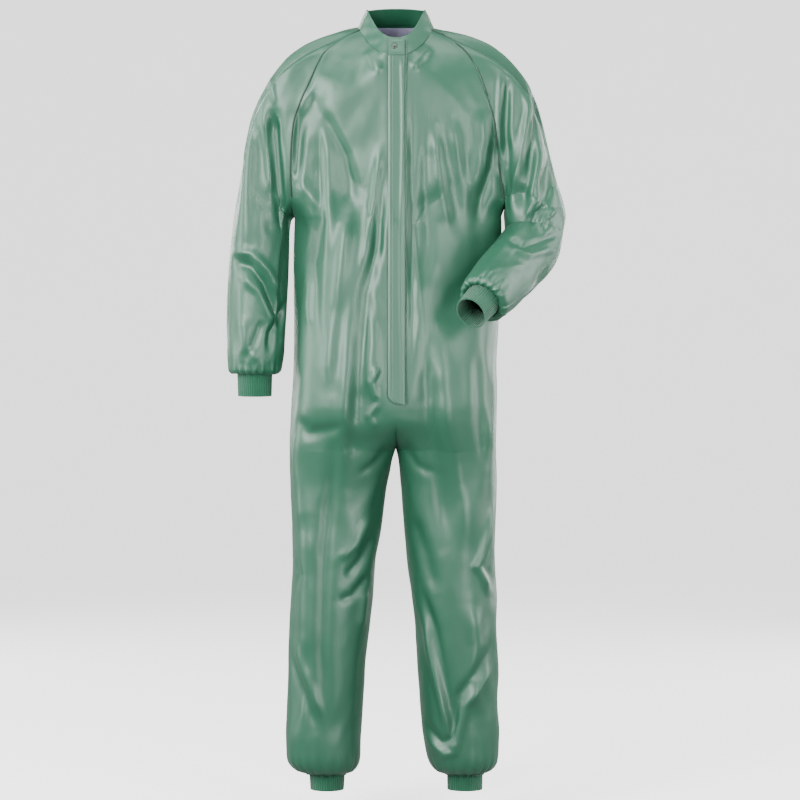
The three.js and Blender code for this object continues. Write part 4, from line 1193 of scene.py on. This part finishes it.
# ------------------------------------------------------------------ riding and standing in
def frame_point(x, y, z):
    """One point's suit millimetres to frame metres."""
    return (x / 1000, y / 1000, (z - NECK_SIDE) / 1000)


def wear(piece, body, slot, *nodes):
    """The piece rides on a body and stands for CAD nodes, which it hides; slot is not used."""
    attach(piece, body)
    if nodes:
        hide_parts(*nodes)
    return piece


def area_of(piece):
    """Area of one face of a closed thin piece, in square metres."""
    mesh = piece.data
    areas = np.zeros(len(mesh.polygons))
    mesh.polygons.foreach_get("area", areas)
    return float(areas.sum()) / 2


# ------------------------------------------------------------------ operators
class BuildCloth(bpy.types.Operator):
    """Body panels, lower legs and sleeves, as joined sheets of cloth"""
    bl_idname = "coverall.cloth"
    bl_label = "Body cloth"

    def execute(self, context):
        sizes = context.scene.coverall_sizes
        cloth = garment()
        if sizes.drape_frames:
            drape(cloth, sizes.drape_frames)
        fine = {name: dict(grid, points=refined(grid["points"], grid["closed"]))
                for name, grid in cloth.grids.items()}
        cloth = Garment(fine)
        pressed(cloth, sizes.fold_depth)
        gather(cloth)
        points = np.concatenate([g["points"].reshape(-1, 3) for g in cloth.grids.values()])
        cloth.points[cloth.index] = points
        normals = cloth.normals()
        for name, grid in cloth.grids.items():
            uv = cut_coordinates(grid)
            piece = shell(f"{name}_cloth", grid["points"], cloth.of_grid(name, normals),
                          grid["closed"], grid["flip"], sizes.thickness * 1000, uv)
            piece.data.materials.append(woven_satin())
        self.join_joints()
        return {"FINISHED"}

    def join_joints(self):
        """Each piece hides the CAD parts it stands for and has its transform baked; its area is
        worked out and not kept.
        """
        for word, side in SIDES:
            for face, nodes in (("front", (f"front_panel_{word}", f"thigh_front_{word}",
                                           f"hip_fold_{word}")),
                                ("back", (f"back_panel_{word}", f"thigh_back_{word}"))):
                piece = bpy.data.objects[f"{face}_{word}_cloth"]
                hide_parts(*nodes)
                area_of(piece)
                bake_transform(piece)
            piece = bpy.data.objects[f"lower_leg_{word}_cloth"]
            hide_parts(f"knee_fold_{word}", f"shin_front_{word}", f"shin_back_{word}",
                        f"leg_hem_{word}")
            area_of(piece)
            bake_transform(piece)
            piece = bpy.data.objects[f"sleeve_{word}_cloth"]
            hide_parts(f"upper_sleeve_{word}", f"elbow_fold_{word}",
                        f"forearm_sleeve_{word}")
            area_of(piece)
            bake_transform(piece)


def cuff_grid(start, direction, profile, seed):
    """A knitted cuff: rings along a straight line, with rounded ribs round them and a slight
    oval that grows from the sewn end towards the hem."""
    direction = unit(direction)
    side = unit(np.cross((0, 1.0, 0), direction))
    front = np.cross(direction, side)
    ribs = 44
    count = ribs * 6
    turn = np.linspace(0, 2 * math.pi, count, endpoint=False)[None, :, None]
    place = np.array([p[0] for p in profile], float)
    distance = np.linspace(place[0], place[-1], 26)
    radius = smooth(profile, distance)[:, None, None]
    wave = 0.45 * np.cos(ribs * turn)
    lean = 0.9 * np.sin(2 * turn + seed) * np.linspace(0, 1, 26)[:, None, None]
    r = radius + wave + lean
    rings = (np.asarray(start, float) + distance[:, None, None] * direction
             + r * (np.cos(turn) * side + np.sin(turn) * front))
    return rings


class BuildCuffs(bpy.types.Operator):
    """The four ribbed knit cuffs"""
    bl_idname = "coverall.cuffs"
    bl_label = "Knitted cuffs"

    def execute(self, context):
        for word, side in SIDES:
            start = np.array((side * ANKLE_X, 0, ANKLE_CUFF + CUFF_TUCK))
            profile = [[0, ANKLE_RADIUS + 0.5], [18, ANKLE_RADIUS], [ANKLE_CUFF + 5.5, 34]]
            self.cuff(f"ankle_cuff_{word}_knit", start, (0, 0, -1.0), profile, side,
                      f"shin_{word}", f"ankle_cuff_{word}", 0.228, 0.042)
            if side < 0:
                direction = np.array((0, 0, -1.0))
                start = STRAIGHT_CUFF + (0, 0, CUFF_TUCK)
            else:
                direction = unit(BENT_LOWER)
                start = BENT_PIVOT + direction * (BENT_REACH + BENT_FOREARM - CUFF_TUCK)
            profile = [[0, WRIST_RADIUS + 1], [20, WRIST_RADIUS], [WRIST_CUFF + 5.5, 32.5]]
            self.cuff(f"wrist_cuff_{word}_knit", start, direction, profile, side + 2,
                      f"forearm_{word}", f"wrist_cuff_{word}", 0.216, 0.056)
        return {"FINISHED"}

    def cuff(self, name, start, direction, profile, seed, body, cad, width, length):
        grid = cuff_grid(start, direction, profile, seed)
        outward = grid - grid.mean(1, keepdims=True)
        piece = sheet_of(name, grid, KNIT, ribbed_knit(), outward, True)
        wear(piece, body, "knit", cad)


class BuildPiping(bpy.types.Operator):
    """Corded piping along the raglan seams"""
    bl_idname = "coverall.piping"
    bl_label = "Raglan piping"

    def execute(self, context):
        for word, side in SIDES:
            for name in ("front", "back"):
                mesh = bpy.data.objects[f"{name}_{word}_cloth"].data
                count = len(mesh.vertices)
                co = np.zeros(count * 3)
                mesh.vertices.foreach_get("co", co)
                outer = co.reshape(-1, 3)[:count // 2] * 1000 + (0, 0, NECK_SIDE)
                columns = 2 * PANEL_COLUMNS + 1
                grid = outer.reshape(-1, columns, 3)
                rows = grid[-2 * YOKE_ROWS:, -1]
                inner = grid[-2 * YOKE_ROWS:, -4]
                n = unit(np.cross(np.gradient(rows, axis=0), rows - inner))
                facing = -1 if name == "front" else 1
                n = n * np.sign((n[:, 1] * facing).sum())
                line = rows + n * 1.3 + unit(inner - rows) * 0.8
                line = line[10:]
                piece = tube(f"raglan_piping_{name}_{word}_cord", line, 1.9, 10, piping_cloth())
                wear(piece, "body", "piping", f"raglan_piping_{name}_{word}")
        return {"FINISHED"}


def neck_line(count):
    """The neck seam from the front middle round one side to the back middle, in even steps."""
    column = np.linspace(0, 1, 40)
    front = yoke_rows(FRONT, 1, np.ones(1), column, 0.0)[0]
    back = yoke_rows(BACK, 1, np.ones(1), column, 0.0)[0][::-1]
    t = np.linspace(0, 1, 12)[1:-1, None]
    over = front[-1] * (1 - t) + back[0] * t + np.sin(math.pi * t) * np.array((4.0, 0, 3.0))
    line = np.concatenate([front, over, back])
    return even_steps(line, count)


def collar_rows(lift, outset):
    """Rows of the collar's wall: the neck seam moved in as it rises and out by the outset. A row
    starts at the front middle and runs round the wearer's right and back to it."""
    half = neck_line(60)
    lift = np.asarray(lift, float)[:, None]
    lean = COLLAR_LEAN * lift / COLLAR_HEIGHT
    radial = unit(np.stack([half[:, 0], half[:, 1] - COLLAR_MIDDLE, 0 * half[:, 0]], -1))
    moved = half[None] + radial[None] * (outset - lean)[..., None]
    moved = moved + np.stack([0 * lift, 0 * lift, lift + COLLAR_SEAT], -1)
    right = moved * (-1, 1, 1)
    left = moved[:, ::-1][:, 1:]
    return np.concatenate([right, left], 1)


def collar_wall(lift, outset):
    """The collar's wall from just left of the front middle round the wearer's right to its split,
    each row in even steps."""
    rows = []
    for row in collar_rows(lift, outset):
        beyond = ~((row[:, 1] < 0) & (np.abs(row[:, 0]) < COLLAR_SPLIT + 1.5))
        middle = row[0] * (0, 1, 1)
        start, other, end = (middle + (x, 0, 0) for x in
                             (COLLAR_SPLIT - 0.6, -COLLAR_SPLIT, COLLAR_SPLIT + 0.6))
        line = np.concatenate([[start, middle, other], row[beyond], [end]])
        rows.append(even_steps(line, 160))
    return np.array(rows)


def buckle(grid, seed, size, scale):
    """Moves a grid along its normals by a small seeded undulation."""
    flat = grid.reshape(-1, 3)
    wave = ripple(flat, seed, 10, scale, 0.8).reshape(grid.shape[:2])
    return grid + grid_normals(grid, False, False) * (size * wave)[..., None]


class BuildCollar(bpy.types.Operator):
    """The stand collar, its lining and the back neck facing"""
    bl_idname = "coverall.collar"
    bl_label = "Collar"

    def execute(self, context):
        lift = np.linspace(-2, COLLAR_HEIGHT, 22)
        wall = collar_wall(lift, 0.4)
        roll = np.linspace(0, 1, 6)[1:]
        top = collar_wall(np.full(1, COLLAR_HEIGHT), 0.4)[0]
        over = np.stack([top + np.array((0, 0, 1.1 * math.sin(math.pi * t))) for t in roll])
        inward = unit((top - (0, COLLAR_MIDDLE, 0)) * (1, 1, 0))
        over = over - inward[None] * (roll * 2.6)[:, None, None]
        lining_lift = np.linspace(COLLAR_HEIGHT, 0.5, 20)
        lining = collar_wall(lining_lift, -2.2)
        wall = buckle(wall, 5, 0.5, 46)
        outer = np.concatenate([wall, over])
        collar = sheet_of("collar_stand", outer, 0.9, woven_satin(), outer - outer.mean((0, 1)))
        wear(collar, "body", "satin", "collar")
        lining = buckle(lining[::-1], 9, 0.6, 60)
        inward = lining.mean((0, 1)) - lining
        liner = sheet_of("collar_lining_cloth", lining, 0.8, woven_satin(), inward)
        wear(liner, "body", "satin", "collar_lining")
        self.facing()
        return {"FINISHED"}

    def facing(self):
        """The lilac facing inside the back neck: a half oval with three upright creases."""
        t = np.linspace(0, 1, 26)[:, None]
        s = np.linspace(-1, 1, 61)[None, :]
        x = 60 * s + 0 * t
        arch = np.sqrt(np.maximum(1 - (x / 63) ** 2, 0))
        drop = 4 + 62 * (1 - t)
        z = NECK_BACK - drop * arch - 8 * (x / 62) ** 2 * (1 - t)
        y = surface_depth(BACK, 1, np.abs(x), z) - 5.2
        crease = (1.6 * np.exp(-((x + 16) / 4) ** 2) - 1.4 * np.exp(-((x - 2) / 3) ** 2)
                  + 1.5 * np.exp(-((x - 17) / 4) ** 2))
        grid = np.stack([x, y - crease * np.sin(math.pi * t * 0.8 + 0.3), z], -1)
        piece = sheet_of("back_neck_facing_cloth", grid, 0.8, facing_cloth())
        wear(piece, "body", "facing", "back_neck_facing")
        max(area_of(piece), 0.0029)


def on_front(x, out, down):
    """A point beside the front edge: x from the middle, out of the chest, and down the edge."""
    x, out, down = np.broadcast_arrays(*(np.asarray(v, float) for v in (x, out, down)))
    y = -FRONT_DEPTH_NECK - out * math.cos(FRONT_TILT) - down * math.sin(FRONT_TILT)
    z = NECK_FRONT + out * math.sin(FRONT_TILT) - down * math.cos(FRONT_TILT)
    return np.stack([x, y, z], -1)


def on_collar(x, out, up):
    """A point on the front of the collar: x from the middle, out of it and up its slope."""
    x, out, up = np.broadcast_arrays(*(np.asarray(v, float) for v in (x, out, up)))
    y = -FRONT_DEPTH_NECK - out * math.cos(COLLAR_TILT) + up * math.sin(COLLAR_TILT)
    z = NECK_FRONT + COLLAR_SEAT + out * math.sin(COLLAR_TILT) + up * math.cos(COLLAR_TILT)
    return np.stack([x, y, z], -1)


def bead(rows, height):
    """A rounded strip beside a flap's sewn edge: x, how far out, and the way along it."""
    t = np.linspace(0, 1, 9)[None, :]
    out = 0.5 + height * np.sqrt(np.maximum(1 - (1.6 * t - 0.6) ** 2, 0))
    return PLACKET_SEWN_EDGE + 0.8 + 3.0 * t, out, rows[:, None]


def stitches(name, line, outward, pitch, length, radius):
    """A row of stitches: each a thread segment, thickest in the middle, that dips into the cloth
    at both ends, with six sides."""
    along = lengths_along(line)
    at = np.arange(pitch / 2, along[-1] - pitch / 2, pitch)
    share = np.linspace(-0.5, 0.5, 5)
    place = at[:, None] + share[None] * length
    spine, out = at_lengths(place, along, line), at_lengths(place, along, outward)
    ahead = unit(np.gradient(spine, axis=1))
    beside = unit(np.cross(ahead, out))
    lift = radius * (1 - (2 * share) ** 2 * 1.6)[None, :, None]
    spine = spine + out * lift
    size = radius * np.sqrt(np.maximum(1 - (2 * share) ** 2 * 0.85, 0.02))[None, :, None, None]
    turn = np.linspace(0, 2 * math.pi, 6, endpoint=False)[None, None, :, None]
    ring = spine[:, :, None] + size * (np.cos(turn) * out[:, :, None]
                                       + np.sin(turn) * beside[:, :, None])
    caps = np.array([[0, 5, 4, 3], [0, 3, 2, 1], [24, 25, 26, 27], [24, 27, 28, 29]])
    face = np.concatenate([quads(5, 6, True), caps])
    return repeated(name, ring.reshape(len(at), -1, 3), face, True)


def repeated(name, points, face, smooth_faces):
    """Many blocks alike in one object: points for each block, and the faces of one block."""
    offset = (np.arange(len(points)) * points.shape[1])[:, None, None]
    faces = (face[None] + offset).reshape(-1, 4)
    made = new_mesh(name, points.reshape(-1, 3), faces, smooth_faces=smooth_faces)
    fix_outward(made)
    return made


def fix_outward(piece):
    """Turns the faces of a piece made of closed parts so that they point outwards."""
    made = bmesh.new()
    made.from_mesh(piece.data)
    bmesh.ops.recalc_face_normals(made, faces=made.faces)
    made.to_mesh(piece.data)
    made.free()


class BuildPlacket(bpy.types.Operator):
    """The storm placket over the zip, and the strip it is sewn to"""
    bl_idname = "coverall.placket"
    bl_label = "Placket"

    def execute(self, context):
        right = PLACKET_SEWN_EDGE
        turn_from = PLACKET_LENGTH - 22
        rows = pieces_along((2, turn_from, 120), (turn_from, PLACKET_LENGTH, 12))
        u = np.linspace(0, 1, 29)[None, :]
        down = rows[:, None] + 0 * u
        turn = np.clip((down - (PLACKET_LENGTH - 20)) / 20, 0, 1)
        left = PLACKET_FREE_EDGE + 20 * (1 - np.sqrt(np.maximum(1 - turn ** 2, 0)))
        x = left + (right - left) * u
        wave = ripple(np.stack([x, 0 * x, down], -1).reshape(-1, 3), 14, 8, 60, 3.0)
        wave = wave.reshape(x.shape)
        edge = np.minimum(x - left, right - x)
        plump = 1.1 * (1 - np.exp(-np.maximum(edge, 0) / 2.2))
        valley = -0.55 * np.exp(-((x - left - 6.5) / 0.8) ** 2)
        fold = 1.5 * np.exp(-((x - 11 - 2.5 * np.sin(down / 90)) / 3.4) ** 2) * ease(2, 30, down)
        fold *= 1 - 0.55 * ease(260, 330, down)
        out = PLACKET_STAND_OFF + 1.1 + plump + valley + fold + 0.35 * wave * ease(0, 4, edge)
        grid = on_front(x, out, down)
        flap = sheet_of("placket_cloth", grid, 1.5, woven_satin())
        wear(flap, "placket", "satin", "placket_flap")
        grid = on_front(*bead(rows, PLACKET_STAND_OFF - 0.8))
        base = sheet_of("placket_base_cloth", grid, 1.2, woven_satin(), (0.3, -1.0, 0))
        wear(base, "body", "satin", "placket_base")
        area_of(base)
        line = on_front(PLACKET_FREE_EDGE + 6.5, PLACKET_STAND_OFF + 1.75,
                        np.linspace(4, turn_from, 200))
        outward = np.repeat(unit(on_front(0, 1, 0) - on_front(0, 0, 0))[None], 200, 0)
        thread = stitches("placket_stitching", line, outward, 3.4, 2.6, 0.28)
        thread.data.materials.append(piping_cloth())
        wear(thread, "placket", "satin")
        return {"FINISHED"}


class BuildCollarTab(bpy.types.Operator):
    """The tab across the collar with its press stud"""
    bl_idname = "coverall.collar_tab"
    bl_label = "Collar tab"

    def execute(self, context):
        low, high, out = -6.2, 30, 5.4
        u, v = np.meshgrid(np.linspace(0, 1, 31), np.linspace(0, 1, 31))
        edge, right = PLACKET_FREE_EDGE, PLACKET_SEWN_EDGE
        x = edge + (right - edge) * u
        up = low + (high - low) * v
        distance = np.minimum(np.minimum(x - edge, right - x),
                              np.minimum(up - low, high - up))
        plump = 0.9 * (1 - np.exp(-distance / 1.8))
        valley = -0.45 * np.exp(-((distance - 3.4) / 0.7) ** 2)
        dish = -0.8 * np.exp(-(((x - SNAP_X) ** 2 + (up - SNAP_UP) ** 2) / 60))
        grid = on_collar(x, out + 1.0 + plump + valley + dish, up)
        tab = sheet_of("collar_tab_cloth", grid, 1.7, woven_satin(), (0, -1.0, 0.3))
        wear(tab, "tab", "satin", "collar_tab")
        grid = on_collar(*bead(np.linspace(low, high, 24), out - 0.6))
        base = sheet_of("collar_tab_base_cloth", grid, 1.2, woven_satin(), (0.3, -1.0, 0.3))
        wear(base, "body", "satin", "collar_tab_base")
        area_of(base)
        self.snap("snap_cap_metal", "tab", "snap_cap", out + 1.0, 1.9, 6.3, True)
        self.snap("snap_socket_metal", "tab", "snap_socket", 2.8, 2.0, 5.0, False)
        self.snap("snap_stud_metal", "body", "snap_stud", 0.4, 2.0, 4.0, True)
        return {"FINISHED"}

    def snap(self, name, body, cad, low, height, radius, domed):
        """A turned stud: its profile carried round its axis."""
        shares = SNAP_DOMED if domed else SNAP_FLAT
        radii = radius * np.array([share for share, _, _ in shares])[:, None]
        rise = np.array([height * up + extra for _, up, extra in shares])[:, None]
        turn = np.linspace(0, 2 * math.pi, SNAP_SIDES, endpoint=False)[None, :]
        x, up = SNAP_X + radii * np.cos(turn), SNAP_UP + radii * np.sin(turn)
        grid = on_collar(x, low + rise, up)
        crown = height if domed else 0.6 * height
        ends = on_collar(np.full(2, SNAP_X), np.array((low, low + crown)), SNAP_UP)
        points = np.concatenate([grid.reshape(-1, 3), ends])
        piece = new_mesh(name, points, closed_by_points(len(shares), SNAP_SIDES))
        fix_outward(piece)
        piece.data.materials.append(dull_nickel())
        wear(piece, body, "metal", cad)


class BuildZip(bpy.types.Operator):
    """The zip: tapes, teeth, stops, slider, pull and the guard behind"""
    bl_idname = "coverall.zip"
    bl_label = "Zip"

    def execute(self, context):
        for word, side in SIDES:
            self.teeth(word, side)
            self.tape(word, side)
        for name in ("zip_slider", "zip_pull", "zip_bottom_stop", "zip_top_stop_right",
                     "zip_top_stop_left"):
            self.finish(name, dull_nickel())
        self.guard()
        return {"FINISHED"}

    def teeth(self, word, side):
        """Moulded teeth 2.4 mm apart, each a bevelled block with a nose that reaches the other
        row, the two rows half a pitch out of step."""
        pitch = 2.4
        first = ZIP_TOP_ROOM + 1.2 + (pitch / 2 if side > 0 else 0)
        places = np.arange(first, ZIP_TOP_ROOM + ZIP_LENGTH - 1.4, pitch)
        root, nose = 3.1, -0.2
        outline = np.array([(root, -0.85), (0.9, -0.7), (nose, -0.42), (nose, 0.42), (0.9, 0.7),
                            (root, 0.85)])
        layers = np.array([(-0.6, 0.72), (-0.95, 1.0), (-2.35, 1.0), (-2.7, 0.72)])
        centre = np.array((1.5, 0.0))
        points = np.array([[(*(centre + (p - centre) * s), o) for p in outline]
                           for o, s in layers])
        flat = points.reshape(-1, 3)
        x = side * flat[None, :, 0] + 0 * places[:, None]
        out = flat[None, :, 2] + 0 * places[:, None]
        down = places[:, None] + flat[None, :, 1]
        caps = np.array([[0, 1, 2, 3], [0, 3, 4, 5], [18, 19, 20, 21], [18, 21, 22, 23]])
        face = np.concatenate([quads(4, 6, True), caps])
        piece = repeated(f"zip_teeth_{word}_row", on_front(x, out, down), face, False)
        piece.data.materials.append(moulded_plastic())
        wear(piece, "body", "zip_teeth", f"zip_teeth_{word}")

    def tape(self, word, side):
        """The woven tape, with the cord that the teeth grip along its inner edge."""
        down = np.linspace(ZIP_TOP_ROOM, ZIP_TOP_ROOM + ZIP_LENGTH, 160)[:, None]
        u = np.linspace(0, 1, 15)[None, :]
        x = 2.0 + 15.2 * u + 0 * down
        cord = 0.55 * np.exp(-((x - 2.6) / 0.7) ** 2)
        out = -2.5 + cord + 0.12 * np.sin(down / 11 + x)
        grid = on_front(side * x, out, down + 0 * x)
        piece = sheet_of(f"zip_tape_{word}_cloth", grid, 0.7, tape_cloth())
        wear(piece, "body", "zip_tape", f"zip_tape_{word}")

    def finish(self, name, material):
        """A CAD node that is right as it is, given its material."""
        part = next(o for o in bpy.context.scene.objects if o.get("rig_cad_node") == name)
        part.data.materials.clear()
        part.data.materials.append(material)

    def guard(self):
        """The guard behind the zip, a strip of the body cloth with turned edges."""
        down = np.linspace(ZIP_TOP_ROOM, ZIP_TOP_ROOM + ZIP_LENGTH, 160)[:, None]
        x = np.linspace(-17, 17, 25)[None, :] + 0 * down
        edge = 17 - np.abs(x)
        out = -6.4 - 0.5 * np.exp(-edge / 2) + 0.2 * np.sin(down / 37)
        grid = on_front(x, out, down + 0 * x)
        piece = sheet_of("zip_guard_cloth", grid, 1.0, woven_satin())
        wear(piece, "body", "satin", "zip_guard")


# Each light: its name, place and aim in suit mm, width and height in m, and watts.
LIGHTS = (
    ("key", (-1700, -2500, 1900), (0, 0, 820), (0.8, 2.4), 140),
    ("fill", (1500, -3100, 1000), (0, 0, 720), (0.5, 2.4), 76),
    ("back_left", (-2000, 2700, 1800), (0, 0, 850), (0.8, 2.2), 75),
    ("back_right", (2100, 2600, 1300), (0, 0, 850), (0.6, 2.2), 55),
    ("top", (0, -700, 3300), (0, 0, 1200), (2.0, 1.0), 32),
    ("left_rim", (-2300, -100, 1500), (-100, 0, 900), (0.5, 2.6), 60),
    ("right_rim", (2300, 0, 1500), (100, 0, 900), (0.5, 2.6), 55),
)
SKY_STRENGTH = 0.42
PICTURE_HEIGHT = 1600


class BuildStage(bpy.types.Operator):
    """Pale floor and backdrop, soft lights and the camera"""
    bl_idname = "coverall.stage"
    bl_label = "Stage"

    def execute(self, context):
        self.backdrop()
        self.lights()
        self.camera(context)
        return {"FINISHED"}

    def backdrop(self):
        """A pale round floor that curves up into a wall: a profile turned round the Z axis. Only
        the camera sees it, so that it does not light the cloth."""
        floor, reach, sides = -60.0, 5000.0, 72
        bend = np.linspace(0, math.pi / 2, 16)
        out = np.concatenate([[1.0, 2500.0], reach + 6000 * np.sin(bend), [reach + 6000]])
        up = np.concatenate([[floor] * 2, floor + 6000 * (1 - np.cos(bend)), [16000.0]])
        turn = np.linspace(0, 2 * math.pi, sides, endpoint=False)[None, :]
        grid = np.stack([out[:, None] * np.cos(turn), out[:, None] * np.sin(turn),
                         up[:, None] + 0 * turn], -1)
        faces = [*quads(len(out), sides, True), np.arange(sides)]
        piece = new_mesh("backdrop", grid, faces)
        piece.visible_diffuse = False
        piece.visible_glossy = False
        material, tree, out_shader = shader("Painted paper", {
            "Roughness": 0.9, "Specular IOR Level": 0.2, "Emission Strength": 1.7,
            "Emission Color": linear("#F2F3F2")})
        place = node(tree, "ShaderNodeTexCoord")
        grain = node(tree, "ShaderNodeTexNoise", {"Scale": 3.0}, [("Vector", place, "Object")])
        shade = node(tree, "ShaderNodeMix", {"data_type": "RGBA", 6: linear("#EDEDEC"),
                                             7: linear("#F4F4F3")}, [(0, grain, 0)])
        tree.links.new(shade.outputs[2], out_shader.inputs["Base Color"])
        piece.data.materials.append(material)

    def lights(self):
        world = bpy.context.scene.world or bpy.data.worlds.new("Studio")
        bpy.context.scene.world = world
        world.use_nodes = True
        sky = world.node_tree.nodes["Background"]
        sky.inputs[0].default_value = (1, 1, 1, 1)
        sky.inputs[1].default_value = SKY_STRENGTH
        for name, place, aim, size, watts in LIGHTS:
            data = bpy.data.lights.new(name, "AREA")
            data.shape = "RECTANGLE"
            data.size, data.size_y = size
            data.energy = watts
            light = bpy.data.objects.new(name, data)
            bpy.context.scene.collection.objects.link(light)
            light.location = frame_point(*place)
            light.rotation_euler = looking(np.array(aim, float) - np.array(place, float))

    def camera(self, context):
        data = bpy.data.cameras.new("camera")
        camera = bpy.data.objects.new("camera", data)
        context.scene.collection.objects.link(camera)
        place = np.array((8.0, -8000.0, 1250.0))
        aim = np.array((8.0, 0.0, 784.0))
        camera.location = frame_point(*place)
        camera.rotation_euler = looking(aim - place)
        data.sensor_width = 36
        data.lens = 36 * float(np.linalg.norm(aim - place)) / PICTURE_HEIGHT
        data.clip_end = 50
        context.scene.camera = camera


def looking(way):
    """Euler angles that point an object's -Z along a direction with its +Y up."""
    return Vector(way).to_track_quat("-Z", "Y").to_euler()


class CoverallPanel(bpy.types.Panel):
    bl_idname = "VIEW3D_PT_coverall"
    bl_label = "Coverall"
    bl_space_type = "VIEW_3D"
    bl_region_type = "UI"
    bl_category = "Coverall"

    def draw(self, context):
        scene, layout = context.scene, self.layout
        for group in (scene.coverall_sizes, scene.coverall_colours):
            for key in group.__annotations__:
                layout.prop(group, key)
        for operator in OPERATORS:
            layout.operator(operator.bl_idname)


OPERATORS = (BuildCloth, BuildCuffs, BuildPiping, BuildCollar, BuildPlacket, BuildCollarTab,
             BuildZip, BuildStage)
CLASSES = (CoverallSizes, CoverallColours, *OPERATORS, CoverallPanel)


def register():
    for one in CLASSES:
        bpy.utils.register_class(one)
    bpy.types.Scene.coverall_sizes = bpy.props.PointerProperty(type=CoverallSizes)
    bpy.types.Scene.coverall_colours = bpy.props.PointerProperty(type=CoverallColours)


def unregister():
    del bpy.types.Scene.coverall_colours
    del bpy.types.Scene.coverall_sizes
    for one in reversed(CLASSES):
        bpy.utils.unregister_class(one)


def main():
    register()
    bpy.ops.coverall.cloth()
    bpy.ops.coverall.cuffs()
    bpy.ops.coverall.piping()
    bpy.ops.coverall.collar()
    bpy.ops.coverall.placket()
    bpy.ops.coverall.collar_tab()
    bpy.ops.coverall.zip()
    bpy.ops.coverall.stage()


if __name__ == "__main__":
    main()
